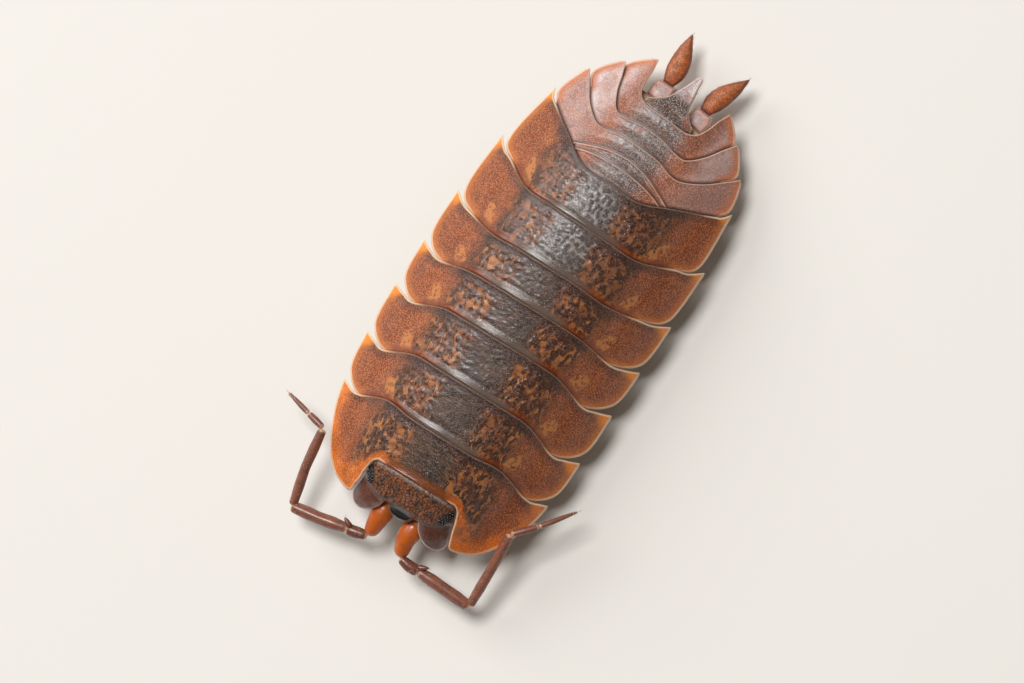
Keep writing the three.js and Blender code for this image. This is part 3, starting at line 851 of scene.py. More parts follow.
def back_marks(f, settings, base, colour):
    """The shade before the rear margin, the tan patch of each flank and small pale glints."""
    place, front, rear = base["place"], base["front"], base["rear"]
    shade = f.product(f.ramp(rear, 0.38, 0.16), f.rest(f.product(base["flank_zone"], 0.35)))
    shade_colour = f.blend(f.ramp(base["speck"], 0.2, 0.95), paint(50, 29, 24), paint(112, 76, 62))
    colour = f.lay(colour, shade_colour, shade, 0.75)
    ragged = f.ramp(f.noise(place, 0.13), 0.4, 0.5)
    colour = f.lay(colour, tuple(settings.spots), f.value("patch"), ragged, 0.8)
    zone = f.product(f.ramp(base["across"], 2.5, 2.0), f.ramp(front, 0.2, 0.34), f.ramp(rear, 0.1, 0.24))
    glints = f.product(f.ramp(f.grains(place, 0.13), 0.2, 0.08), f.ramp(f.noise(place, 0.3), 0.47, 0.6))
    return f.lay(colour, paint(224, 204, 190), glints, zone, 0.6)


def back_band(f, base, colour):
    """The smooth strip that slides under the plate before it, with blotches on the shoulders and, at the
    sides, painted shade next to that plate.
    """
    across, front = base["across"], base["front"]
    outside, middle_share = f.ramp(across, 0.9, 1.7), 0.72
    zone = f.product(base["band"], f.ramp(across, 3.3, 2.5), f.rest(f.value("nape")))
    # Towards the sides the dark strip is laid in full next to the plate before it and thinner further back:
    # a painted shade.
    shade_near_cover = f.ramp(front, 0.26, 0.1, 0.3, 1.0)
    share = f.total(f.product(outside, f.maths("SUBTRACT", shade_near_cover, middle_share)), middle_share)
    strip = f.blend(outside, paint(118, 104, 94), paint(124, 54, 16))
    colour = f.lay(colour, strip, zone, share, 0.8)
    shoulder = f.product(f.ramp(across, 1.1, 1.5), f.ramp(across, 2.6, 2.3), f.ramp(front, 0.03, 0.12))
    return f.lay(colour, base["spot_colour"], base["islands"], zone, shoulder, 0.45)


def back_margins(f, settings, base, colour):
    """Light through the thin flanks, corners, front lobes and nape, and the pale lines of the edges."""
    across, lobe = base["across"], f.value("lobe")
    colour = f.lay(colour, paint(216, 122, 44), f.ramp(base["side"], 0.36, 0.04), 0.65)
    colour = f.lay(colour, tuple(settings.corner), f.value("corner"), 0.97)
    amber = f.blend(f.ramp(base["speck"], 0.2, 0.9), paint(206, 98, 20), tuple(settings.corner))
    colour = f.lay(colour, amber, lobe, f.ramp(f.noise(base["place"], 0.5, 3.0), 0.2, 0.62))
    nape = f.blend(f.ramp(across, 0.9, 1.4), paint(128, 62, 14), paint(192, 96, 20))
    colour = f.lay(colour, nape, f.value("nape"), 0.85)
    grainy = f.ramp(base["grain"], 0.0, 0.8, 0.5, 1.0)
    rear_line = f.product(f.ramp(base["rear"], 0.055, 0.02), f.ramp(across, 3.9, 3.2), grainy)
    colour = f.lay(colour, paint(178, 152, 132), rear_line, 0.6)
    rim_reach = f.maths("MAXIMUM", f.ramp(across, 2.6, 3.2), f.product(lobe, 0.8))
    rim_line = f.product(f.ramp(base["edge"], 0.085, 0.04), rim_reach, f.ramp(base["front"], -0.05, 0.05))
    colour = f.lay(colour, tuple(settings.margin), rim_line, 0.8)
    return f.lay(colour, paint(206, 160, 118), base["under"], 0.6)


def back_finish(settings):
    """Granular orange-brown flanks, spotted shoulders and a dark glossy middle band."""
    f = Finish("back_shell", coat=0.2, scatter_depth=0.15)
    base = shell_base(f, settings)
    across, mottle = base["across"], base["mottle"]
    base["flank_zone"] = f.ramp(f.total(across, f.product(mottle, 0.7)), 2.35, 2.95)
    base["islands"] = f.ramp(f.noise(f.place((1.0, 0.6, 1.0)), 0.19, 2.0, 1.0), 0.51, 0.575)
    base["spot_colour"] = f.blend(f.ramp(mottle, 0.35, 0.65), tuple(settings.spots), paint(150, 84, 42))
    colour = back_ground(f, settings, base)
    colour = back_middle(f, settings, base, colour)
    colour = back_marks(f, settings, base, colour)
    colour = back_band(f, base, colour)
    colour = back_margins(f, settings, base, colour)
    rough = f.ramp(f.total(base["flank_zone"], f.product(mottle, 0.4)), 0.1, 1.0, 0.36, 0.5)
    polish = f.product(base["band"], f.ramp(across, 2.4, 1.3, 0.05, 0.27))
    return f.done(colour, f.maths("SUBTRACT", rough, polish), shell_relief(f, base))


def tail_finish(settings):
    """Granular brown tail plates with pale rims and a lilac-grey cast, partly their own colour and partly a
    painted sheen.
    """
    f = Finish("tail_shell", sheen=0.15, coat=0.15, scatter_depth=0.15)
    base = shell_base(f, settings)
    place, across, front, side = (base[key] for key in ("place", "across", "front", "side"))
    middle = f.ramp(across, 1.3, 0.5)
    shell = f.blend(middle, tuple(settings.tail), paint(182, 166, 158))
    shadow = f.blend(middle, paint(124, 70, 50), paint(78, 57, 48))
    colour = f.blend(f.ramp(base["speck"], 0.1, 1.05), shadow, shell)
    # Orange along the free outer edge: painted light shining through the thin flap.
    colour = f.lay(colour, paint(222, 124, 58), f.ramp(side, 0.4, 0.02), 0.75)
    clouds = f.ramp(f.noise(place, 0.7), 0.3, 0.55, 0.5, 1.0)
    bloom_and_sheen_grain = f.ramp(base["grain"], 0.0, 0.7, 0.76, 1.0)
    # Lilac-grey over the outer flaps: partly the shell's own colour, partly a painted sheen.
    colour = f.lay(colour, tuple(settings.bloom), f.value("bloom"), clouds, bloom_and_sheen_grain, 0.88)
    flecks = f.ramp(f.noise(place, 0.32, 2.0, 1.0), 0.58, 0.66)
    colour = f.lay(colour, paint(160, 78, 34), flecks, f.ramp(across, 1.9, 1.3), 0.55)
    # Dark band at the front of each plate, just behind the margin of the plate before it: a painted shadow.
    colour = f.lay(colour, paint(66, 34, 24), f.ramp(front, 0.14, 0.01), 0.85)
    outer = f.ramp(side, 0.12, 0.05)
    near_edge = f.ramp(f.maths("SUBTRACT", base["edge"], f.product(outer, 0.03)), 0.055, 0.018)
    strength = f.ramp(outer, 0.0, 1.0, 0.55, 0.75)
    colour = f.lay(colour, paint(230, 196, 172), near_edge, f.ramp(front, -0.02, 0.05), strength)
    colour = f.lay(colour, paint(206, 170, 140), base["under"], 0.6)
    return f.done(colour, f.ramp(across, 0.4, 1.4, 0.33, 0.46), shell_relief(f, base))


def head_finish(settings):
    """Dark net over orange-brown, with smooth purple-brown lobes."""
    f = Finish("head_shell", coat=0.2, sheen=0.05)
    place, across, lobe, edge = f.place(), f.value("across"), f.value("lobe"), f.value("edge")
    border = f.grains(f.warped(place, 0.25, 0.14), 0.11, "DISTANCE_TO_EDGE")
    open_part = f.ramp(border, 0.03, 0.2)
    patches = f.ramp(f.noise(place, 0.3), 0.3, 0.62, 0.45, 1.0)
    top = f.blend(f.product(open_part, patches), tuple(settings.net), tuple(settings.mesh))
    grain = f.ramp(f.grains(place, 0.06), 0.1, 0.6, 1.0, 0.0)
    side_lobe = f.blend(f.product(grain, 0.6), tuple(settings.lobes), paint(132, 80, 58))
    # Grey-lilac near the side lobes' edges: a painted sheen where the rounded rims catch the light.
    bloom = f.product(f.ramp(edge, 0.3, 0.03), f.ramp(f.noise(place, 0.3), 0.3, 0.6))
    side_lobe = f.lay(side_lobe, paint(160, 146, 150), bloom, 0.3)
    lobes = f.blend(f.ramp(across, 0.6, 0.72), paint(20, 13, 12), side_lobe)
    colour = f.blend(lobe, top, lobes)
    # Pale grey on the rear ridge: partly its own pale colour, partly a painted highlight, broken into
    # patches.
    pale_and_highlight_patches = f.ramp(f.noise(place, 0.08), 0.3, 0.6)
    colour = f.lay(colour, paint(168, 150, 138), f.value("ridge"), pale_and_highlight_patches, 0.7)
    line = f.product(f.ramp(edge, 0.065, 0.02), f.ramp(lobe, 0.3, 0.7))
    colour = f.lay(colour, paint(216, 190, 172), line, f.ramp(across, 0.5, 0.75, 0.12, 0.8))
    colour = f.lay(colour, paint(26, 16, 13), f.value("socket"))
    colour = f.lay(colour, paint(150, 104, 76), f.value("under"), 0.5)
    net_relief = f.product(open_part, f.rest(lobe))
    bumps = f.relief(f.total(net_relief, f.product(grain, 0.25)), 0.012)
    polish = f.product(lobe, f.ramp(across, 0.65, 0.5), 0.2)
    return f.done(colour, f.maths("SUBTRACT", f.ramp(patches, 0, 1, 0.3, 0.42), polish), bumps)


# How the limbs differ: how dark their streaks are, how deep light enters in millimetres, how strong
# their flecks are and how dull they are. Joints have the joint colour unless one is given here.
LIMB_LOOKS = {
    "antenna": {"streak": 0.5, "depth": 0.1, "fleck": 0.3, "dull": 0.0},
    "antenna_base": {"streak": 0.7, "depth": 0.3, "fleck": 0.0, "dull": 0.0},
    "exopod": {"streak": 0.45, "depth": 0.1, "fleck": 0.8, "dull": 0.2, "joint": paint(196, 128, 84)},
    "leg": {"streak": 0.62, "depth": 0.3, "fleck": 0.2, "dull": 0.0},
}


def limb_finish(settings, name):
    """A smooth limb with lengthwise streaks, paler at its joints."""
    look = LIMB_LOOKS[name]
    body = tuple(getattr(settings, name))
    joint = look.get("joint", tuple(settings.joint))
    fleck, dull = look["fleck"], look["dull"]
    f = Finish(name, coat=max(0.3 - 2 * dull, 0.0), scatter_depth=look["depth"])
    place = f.place()
    tone = f.noise(place, 0.22, 3.0)
    dim = f.total(f.product(tone, 0.9), f.product(f.grains(place, 0.05), fleck))
    streaks = f.ramp(dim, 0.3 + 0.35 * fleck, 0.75 + 0.35 * fleck)
    colour = f.blend(streaks, body, tuple(look["streak"] * channel for channel in body))
    colour = f.lay(colour, paint(98, 58, 46), f.value("dusk"))
    colour = f.lay(colour, joint, f.ramp(f.value("end"), 0.1, 0.02), 0.75)
    colour = f.lay(colour, paint(232, 216, 200), f.value("hair"))
    rough = f.ramp(tone, 0.3, 0.7, 0.3 + dull, 0.45 + dull)
    return f.done(colour, rough, f.relief(f.noise(place, 0.045), 0.006))


def belly_finish(settings):
    """Pale skin under the body, darker in the folds."""
    f = Finish("belly_skin", roughness=0.42, scatter_depth=0.4)
    place = f.place()
    tone = f.ramp(f.noise(place, 0.5, 3.0), 0.3, 0.7)
    colour = f.blend(tone, tuple(settings.belly), paint(176, 142, 112))
    colour = f.lay(colour, paint(120, 84, 62), f.value("fold"))
    colour = f.lay(colour, paint(240, 236, 226), f.value("lung"))
    return f.done(colour, normal=f.relief(f.noise(place, 0.1, 3.0), 0.01))


def eye_finish(settings):
    """Glossy black beads with a trace of brown."""
    f = Finish("eye", roughness=0.14, coat=0.2)
    tone = f.ramp(f.noise(f.place(), 0.09, 1.0), 0.4, 0.7)
    return f.done(f.blend(tone, tuple(settings.eyes), paint(24, 15, 13)))


def floor_finish(settings):
    """A plain pale floor, faintly clouded."""
    f = Finish("floor", roughness=0.9)
    clouds = f.noise(f.place(), 18.0)
    return f.done(f.lay(tuple(settings.floor), paint(206, 200, 192), clouds, 0.06))


def rear_margin(segment):
    middle = (segment["trough"] + segment["tip"][1]) / 2
    return [
        [0, segment["mid"]],
        [SHOULDER_X / 2, segment["mid"]],
        [SHOULDER_X, segment["shoulder"]],
        [TROUGH_X, segment["trough"]],
        [(TROUGH_X + segment["tip"][0]) / 2, segment["trough"] + 0.6 * (middle - segment["trough"])],
        segment["tip"],
    ]


def front_margin(segment, before):
    """Follows the margin before it, then turns round the free front corner and runs back."""
    return [
        [0, before["mid"] + GAP],
        [SHOULDER_X / 2, before["mid"] + GAP],
        [SHOULDER_X, before["shoulder"] + GAP],
        [TROUGH_X, before["trough"] - 0.03],
        [segment["width"] - 0.16, before["trough"] + 0.55],
        [segment["tip"][0] + 0.03, segment["tip"][1] - 0.14],
    ]


def clasp_rear():
    """The first plate's rear margin, with as many points as its clasping front one."""
    samples = plan_curve(rear_margin(PEREON[0]))(np.linspace(0, 1, 201))
    return [[x, float(np.interp(x, samples[:, 0], samples[:, 1]))] for x in CLASP_REAR_X]


def dense(points):
    """A smooth margin through a few points, as many short stretches."""
    return plan_curve(points)(np.linspace(0, 1, 121))


def signed_distance(line, x, y):
    """Distance behind a margin that runs outwards from the midline, negative in front of it."""
    behind = y > np.interp(x, line[:, 0], line[:, 1])
    behind |= x > line[-1, 0]
    return np.where(behind, 1, -1) * distance_to(line, x, y)


def shell_plate(front, rear, covers, tuck, fade, grid, lift=REAR_LIFT):
    """Plan, heights and stored distances of one half-hidden shell plate.

    It reaches under the plates before it, whose rear margins are the covers, by tuck. fade gives the
    shares of the front margin between which it stops doing so.
    """
    columns, rows = grid
    share = np.linspace(-1, 1, columns)
    half = np.abs(share)
    front_line, rear_line = plan_curve(front), plan_curve(rear)
    start, end = front_line(half), rear_line(half)
    small = 1e-3
    tangent = front_line(np.minimum(half + small, 1)) - front_line(np.maximum(half - small, 0))
    tangent /= np.linalg.norm(tangent, axis=1)[:, None]
    outwards = np.stack([tangent[:, 1], -tangent[:, 0]], axis=1)
    reach = tuck * (1 - step(half, *fade))[:, None]
    hidden = start + outwards * reach
    along = bunched(np.linspace(0, 1, rows)[:, None], 0.55)
    plan = hidden[None] + (end - hidden)[None] * along[..., None]
    x, y = plan[..., 0], plan[..., 1]

    outer = np.linspace(0, 1, columns // 2 + 1)
    keep = share >= 0
    free = front_line(np.linspace(fade[1], 1, 60))
    outline = np.concatenate([hidden[keep], end[keep][::-1]])
    length = np.linalg.norm(end - start, axis=1)
    whole = np.linalg.norm(end - hidden, axis=1)
    gone = np.clip((along * whole - reach[:, 0]) / np.maximum(length, 1e-6), 0, 1)
    values = {
        "across": x,
        "edge": distance_to(outline, x, y),
        "rear": distance_to(rear_line(outer), x, y),
        "side": distance_to(free, x, y),
        "front": np.full(x.shape, 9.0),
    }
    for cover in covers:
        values["front"] = np.minimum(values["front"], signed_distance(cover, x, y))
    x = np.sign(share)[None] * x
    return x, y, back_height(x, y) + lift * gone ** 2, values


def knobs(x, y, values, heights, seed, style):
    """Bumps of the back: rounded on the shoulders, low cross ridges along the middle."""
    across, front, rear = values["across"], values["front"], values["rear"]
    zone = step(front, 0.18, 0.34) * step(rear, 0.14, 0.3)
    shoulder = step(across, 0.45, 0.95) * (1 - step(across, 2.1, 2.7))
    middle = 1 - step(across, 0.6, 1.1)
    wander = waves(x, y, 0.35, seed + 9)
    near, share = cells(x + 0.05 * wander, y * style["stretch"], style["size"], seed)
    knob = mound(near, 0.62)
    low_x = x / style["low_stretch"] + 0.06 * wander
    low, low_share = cells(low_x, y + 0.05 * wander, style["low"], seed + 5)
    ridge = mound(low, 0.7) * (0.4 + 0.6 * low_share)
    height = shoulder * knob * (0.35 + 0.65 * share) + 0.35 * middle * ridge
    values["dome"] = middle * mound(low, 0.6) + (1 - middle) * knob
    grain = waves(x, y, 0.07, seed + 20) * 0.1 + waves(x, y, 0.3, seed + 21) * 0.15
    return heights * (zone * height + grain * step(front, 0.2, 0.4))


def finish_plate(heap, x, y, z, values, thickness, relief, recess):
    """Sinks the hidden front under its neighbour, rounds the margins and closes the sheet."""
    front = values["front"]
    free = np.minimum(values["rear"], values["side"])
    z = z - recess * (1 - step(front, -0.1, 0.03))
    z = z + 0.02 * bump(front, 0.1, 0.08) - 0.016 * bump(front, 0.29, 0.09)
    z = z + 0.012 * bump(free, 0.05, 0.03)
    half = thickness / 2
    swell = rounding(values["edge"], 0.9 * half)
    add_sheet(heap, x, y, z - half + (half + relief) * swell, z - half - half * swell, **values)


def clasp_plate(rear):
    """The first plate, with its bright front lobes beside the head and the nape behind it."""
    cover = np.array([[0.0, HEAD["rear"]], [1.4, HEAD["rear"]], [1.42, -9.5]])
    x, y, z, values = shell_plate(CLASP, rear, [cover], CLASP_TUCK, CLASP_FADE, GRIDS["clasp"])

    def near(start, end, count):
        return distance_to(plan_curve(CLASP)(np.linspace(start, end, count)), values["across"], y)

    brow_near, nape_near = near(0.14, 0.5, 60), near(0, 0.3, 40)
    values["side"] = near(0.33, 1, 80)
    ahead = step(-y, 7.4, 8.5)
    lobe = 1 - step(values["side"] + 0.12 * waves(x, y, 0.4, 3) - 0.22 * ahead, 0.14, 0.6)
    values["lobe"] = np.maximum(lobe, 0.85 * (1 - step(brow_near, 0.12, 0.24)))
    values["nape"] = 1 - step(nape_near + 0.04 * waves(x, y, 0.15, 8), 0.08, 0.2)
    values["front"] = values["front"] + 0.12
    return x, y, z, values


def add_markings(x, y, values, k, tip):
    """Stores where a back plate has spots, net, tan patch and bright rear corner."""
    across, front = values["across"], values["front"]
    late = step(np.array(k, float), 3.5, 5.5)
    values["spots"] = np.full(x.shape, 1 - 0.35 * late)
    values["net"] = np.full(x.shape, 0.5 + 0.5 * late)
    lean = across - PEREON[k]["patch"] - 0.4 * (front - 0.4)
    patch = (lean / 0.19) ** 2 + ((front - 0.32) / 0.42) ** 2 + 0.3 * waves(x, y, 0.18, 40 + k)
    values["patch"] = (1 - step(patch, 0.7, 1.2)) * (k > 0)
    tip_near = np.hypot(across - tip[0], y - tip[1])
    values["corner"] = 1 - step(tip_near + 0.06 * waves(x, y, 0.2, 60 + k), 0.22, 0.6)


def settings_of(context):
    scene = context.scene
    return scene.woodlouse_shell, scene.woodlouse_head, scene.woodlouse_limbs, scene.woodlouse_stage


def shared(name, make, *given):
    """A finish by name, made the first time that it is asked for."""
    return bpy.data.materials.get(name + "_finish") or make(*given)


class WOODLOUSE_OT_back_plates(bpy.types.Operator):
    """Make the seven plates of the back"""

    bl_idname = "woodlouse.back_plates"
    bl_label = "Back plates"

    def execute(self, context):
        shell = settings_of(context)[0]
        material = shared("back_shell", back_finish, shell)
        thickness, tuck, heights = shell.thickness / MM, shell.overlap / MM, shell.tubercles / MM
        for k, segment in enumerate(PEREON):
            if k:
                before, rear = PEREON[k - 1], rear_margin(segment)
                front, cover = front_margin(segment, before), dense(rear_margin(before))
                x, y, z, values = shell_plate(front, rear, [cover], tuck, BACK_FADE, GRIDS["back"])
            else:
                rear = clasp_rear()
                x, y, z, values = clasp_plate(rear)
            add_markings(x, y, values, k, rear[-1])
            relief = knobs(x, y, values, heights, 11 * k + 1, LATE_KNOBS if k > 3 else EARLY_KNOBS)
            across, clear = values["across"], step(values["front"], 0.2, 0.6)
            z = z + (0.05 * bump(across, 3.35, 0.35) - 0.04 * bump(across, 2.75, 0.2)) * clear
            heap = Heap()
            finish_plate(heap, x, y, z, values, thickness, relief, BACK_RECESS)
            heap.piece(f"back_plate_{k + 1}", material, "back_shell", f"pereonite_{k + 1}")
        return {"FINISHED"}


def tail_plate(heap, k, thickness):
    """Adds one of the five tail plates."""
    covers = [dense(rear_margin(PEREON[-1]))] if k < 3 else []
    if k:
        covers.append(dense(PLEON[k - 1]["rear"]))
    front, rear = PLEON[k]["front"], PLEON[k]["rear"]
    grid = GRIDS["short_tail" if k < 2 else "long_tail"]
    x, y, z, values = shell_plate(front, rear, covers, TAIL_TUCK, TAIL_FADES[k], grid)
    across = values["across"]
    if k < 2:
        z = z - 0.05 * step(across, 1.0, 1.6)
    z = z + 0.05 * step(across, 1.4, 2.0) * step(values["edge"], 0.05, 0.3)
    # Lilac-grey share of the outer flaps, partly own colour and partly a painted sheen: full on the left
    # flaps, which face the lights, and half on the right.
    rise = step(across, 1.3, 2.0) * step(values["side"], 0.1, 0.35)
    bloom = 0.12 + (0.88 if k > 2 else 0.28) * rise
    values["bloom"] = np.where(x < 0, bloom, 0.5 * bloom)
    relief = 0.006 * waves(x, y, 0.08, 90 + k) * step(values["front"], 0.05, 0.2)
    finish_plate(heap, x, y, z, values, thickness, relief, TAIL_RECESS)


def telson_plate(heap):
    """Adds the pointed last plate, with a groove along its tip."""
    cover = dense(PLEON[-1]["rear"])
    no_fade, no_lift = (1.5, 2.0), 0.0
    x, y, z, values = shell_plate(
        TELSON["front"], TELSON["rear"], [cover], TAIL_TUCK, no_fade, GRIDS["telson"], no_lift
    )
    values["side"] = np.full(x.shape, 9.0)
    values["bloom"] = step(y, 6.85, 7.3)
    z = z - 0.05 * bump(values["across"], 0.0, 0.16) * step(y, 6.9, 7.4) + 0.03 * bump(y, 6.7, 0.3)
    finish_plate(heap, x, y, z, values, TELSON_THICKNESS, 0.006 * waves(x, y, 0.08, 99), TAIL_RECESS)


class WOODLOUSE_OT_tail_plates(bpy.types.Operator):
    """Make the five plates of the tail and the telson"""

    bl_idname = "woodlouse.tail_plates"
    bl_label = "Tail plates and telson"

    def execute(self, context):
        shell = settings_of(context)[0]
        material = shared("tail_shell", tail_finish, shell)
        for k in range(len(PLEON)):
            heap = Heap()
            tail_plate(heap, k, shell.thickness / MM)
            heap.piece(f"tail_plate_{k + 1}", material, "tail_shell", f"pleonite_{k + 1}")
        heap = Heap()
        telson_plate(heap)
        heap.piece("telson_plate", material, "tail_shell", "telson")
        return {"FINISHED"}


def head_sheet(heap):
    """Adds the head, a thick sheet with a dark middle lobe and two side lobes."""
    columns, rows = GRIDS["head"]
    across = np.linspace(-1, 1, columns)[None]
    back = bunched(np.linspace(0, 1, rows)[:, None], 0.5)
    lobes = plan_curve(HEAD_LOBES)(np.abs(across[0]))
    front_x, front_y = lobes[None, :, 0], lobes[None, :, 1]
    wide = front_x / HEAD["front_width"]
    rear_y = HEAD["rear"] - 0.1 * step(wide, 0.75, 1.0)
    half_x = front_x + (wide * HEAD["rear_width"] - front_x) * back
    y = front_y + (rear_y - front_y) * back
    x = np.sign(across) * half_x + HEAD["aside"]
    outline = np.concatenate([
        np.stack([half_x[0], y[0]], axis=1)[columns // 2:],
        np.stack([half_x[:, -1], y[:, -1]], axis=1),
        np.stack([half_x[-1], y[-1]], axis=1)[columns // 2:][::-1],
    ])
    edge = distance_to(outline, half_x, y)
    ahead = smooth(BROW)(half_x) - y
    lobe = step(ahead, -0.02, 0.06)
    ridge = bump(HEAD["rear"] - 0.1 - y, 0.0, 0.06)

    z = crest(y) - 0.08 - HEAD["fall"] * (half_x / HEAD["fall_x"]) ** 3 - 0.12 * (1 - back) ** 3
    z = z - 0.14 * step(ahead, -0.03, 0.12) + 0.1 * step(ahead, 0.15, 0.6)
    z = z + 0.02 * bump(edge, 0.06, 0.04) * lobe - 0.12 * lobe * (1 - rounding(edge, 0.3))
    z = z + 0.035 * ridge - 0.05 * step(y, HEAD["rear"] - 0.06, HEAD["rear"])
    z = z + 0.05 * bump(np.hypot(half_x - EYE["x"], y - EYE["y"]), 0, 0.28)
    near, share = cells(x, y, 0.11, 5)
    relief = 0.016 * mound(near, 0.6) * (0.4 + 0.6 * share) * (1 - lobe)
    half = HEAD["thickness"] / 2
    swell = rounding(edge, half)
    thin = z - half - half * swell
    inside = np.minimum(np.minimum(y + 8.55, 1.4 - half_x), HEAD["rear"] + 0.02 - y)
    bottom = thin + (HEAD["underside"] - thin) * step(inside, 0.0, 0.3)

    sine, cosine = math.sin(EYE["turn"]), math.cos(EYE["turn"])
    along = (half_x - EYE["x"]) * sine + (y - EYE["y"]) * cosine
    beside = (half_x - EYE["x"]) * cosine - (y - EYE["y"]) * sine
    socket = 1 - step(np.hypot(along / 0.32, beside / 0.12), 0.8, 1.3)
    marks = {"across": half_x, "edge": edge, "lobe": lobe, "ridge": ridge, "socket": socket}
    add_sheet(heap, x, y, z - half + (half + relief) * swell, bottom, **marks)


def eye_beads(heap, sign):
    """Adds one eye's rows of beads."""
    sine, cosine = math.sin(EYE["turn"]), math.cos(EYE["turn"])
    for row in range(EYE["rows"]):
        beads = EYE["beads"] - abs(row - 1)
        off = (row - 1) * EYE["row_pitch"]
        for bead in range(beads):
            run = (bead - (beads - 1) / 2) * EYE["pitch"]
            x = EYE["x"] + run * sine + off * cosine
            y = EYE["y"] + run * cosine - off * sine
            z = float(crest(np.array(y))) - 0.07 - HEAD["fall"] * (x / HEAD["fall_x"]) ** 3
            radius = EYE["bead"] * (1 - 0.15 * abs(run) / 0.35)
            heap.add(*ball([HEAD["aside"] + sign * x, y, z], radius))


class WOODLOUSE_OT_head(bpy.types.Operator):
    """Make the head with its three lobes, and the bead eyes"""

    bl_idname = "woodlouse.head"
    bl_label = "Head and eyes"

    def execute(self, context):
        head = settings_of(context)[1]
        heap = Heap()
        head_sheet(heap)
        heap.piece("head_shield", shared("head_shell", head_finish, head), "head_shell", "head")
        material = shared("eye", eye_finish, head)
        for side, sign in SIDES:
            heap = Heap()
            eye_beads(heap, sign)
            heap.piece(f"eye_beads_{side}", material, "eye", f"eye_{side}")
        return {"FINISHED"}


def belly_sheet(heap):
    """Adds the skin between the back plates and the legs, with a fold at each segment."""
    columns, rows = GRIDS["belly"]
    front, rear = BELLY_ENDS
    share = np.linspace(-1, 1, columns)[None]
    y = np.linspace(front, rear, rows)[:, None] + 0 * share
    x = share * 0.74 * envelope(y)
    fold = np.zeros(x.shape)
    for border in (front, *[segment["mid"] - 0.5 for segment in PEREON], 4.2, rear):
        fold = np.maximum(fold, bump(y, border, 0.07))
    inner = 1 - step(np.abs(share), 0.6, 0.9)
    top = back_height(x, y) - RIM_THICKNESS
    bottom = belly_height(x, y) + 0.12 * fold * inner + 0.02 * waves(x, y, 0.4, 7) * inner
    edge = np.minimum(1 - np.abs(share), np.minimum(y - front, rear - y) / 0.5)
    closing = np.sqrt(np.clip(edge / 0.1, 0, 1))
    add_sheet(heap, x, y, top, np.minimum(top - 0.02, top + (bottom - top) * closing), fold=fold * inner)


def breathing_plate(heap, sign, i):
    """Adds one of the overlapping plates under the tail, a square grid pressed into a rounded plate."""
    columns, rows = GRIDS["breathing"]
    across = np.linspace(-1, 1, columns)[None]
    along = np.linspace(-1, 1, rows)[:, None]
    px = across * np.sqrt(1 - along ** 2 / 2)
    py = along * np.sqrt(1 - across ** 2 / 2)
    edge = 1 - np.hypot(px, py)
    swell = 0.05 * rounding(edge, 0.18)
    x = sign * (0.74 - 0.03 * i + (0.62 - 0.05 * i) * px)
    y = 4.2 + 0.44 * i + 0.5 * py
    level = 1.05 - 0.18 * py + 0.03 * i
    lung = bump(px, 0.45, 0.4) * bump(py, 0.1, 0.5) * (i < 2)
    grids = [x, y, level + swell, level - swell, lung, 0.4 * bump(edge, 0.1, 0.05)]
    if sign < 0:
        grids = [grid[:, ::-1] for grid in grids]
    *sheet, lung, fold = grids
    add_sheet(heap, *sheet, lung=lung, fold=fold)


# Plates that cover the mouth: rear and front ends in plan, and the radius.
MOUTH_PLATES = (
    (0.3, -7.5, 0.26, -8.35, 0.26),
    (0.42, -8.2, 0.3, -8.62, 0.09),
    (0.14, -8.3, 0.12, -8.66, 0.08),
)


class WOODLOUSE_OT_belly(bpy.types.Operator):
    """Make the belly's skin, the breathing plates and the mouth's cover plates"""

    bl_idname = "woodlouse.belly"
    bl_label = "Underside"

    def execute(self, context):
        limbs = settings_of(context)[2]
        material = shared("belly_skin", belly_finish, limbs)
        heap = Heap()
        belly_sheet(heap)
        heap.piece("belly_skin", material, "limb")
        for side, sign in SIDES:
            heap = Heap()
            for i in range(5):
                breathing_plate(heap, sign, i)
            heap.piece(f"breathing_plates_{side}", material, "limb", f"pleopods_{side}")
        heap = Heap()
        for _, sign in SIDES:
            for x0, y0, x1, y1, radius in MOUTH_PLATES:
                middle = [sign * (x0 + x1) / 2, (y0 + y1) / 2, 1.04]
                path = [[sign * x0, y0, 1.1], middle, [sign * x1, y1, 1.14]]
                points, faces, end = rod(path, [radius, radius, radius * 0.6], 16, 0.45)
                heap.add(points, faces, fold=bump(end, 0, 0.05) * 0.5)
        heap.piece("mouth_plates", material, "limb", "mouthparts")
        return {"FINISHED"}


def antenna_root(heap, joints, draw):
    """Adds the thick base, the dark third article and its spur."""
    for name, dusk in (("base", 0.0), ("article_3", 0.9)):
        points, faces, end = rod(joints[name], ANTENNA_RADII[name], 20, 0.85, 0.03)
        heap.add(points, faces, False, end=end, dusk=dusk)
    points, faces, end = rod(joints["spur"], ANTENNA_RADII["spur"], 12)
    heap.add(points, faces, False, end=end + 0.1, dusk=0.9)
    spur_tip = joints["spur"][1]
    bristles(heap, joints["article_3"], 0.2, draw, 24, 0.07, ANTENNA_HAIR)
    bristles(heap, [spur_tip, spur_tip], 0.02, draw, 5, 0.1, ANTENNA_HAIR)


def antenna_article(heap, path, radii, draw, hairs):
    """Adds a ridged free article with its hairs."""
    points, faces, end = rod(path, radii, 20, 0.9, 0.05)
    heap.add(points, faces, False, end=end, dusk=0.45)
    bristles(heap, path, max(radii) * 0.95, draw, hairs, 0.05, ANTENNA_HAIR)


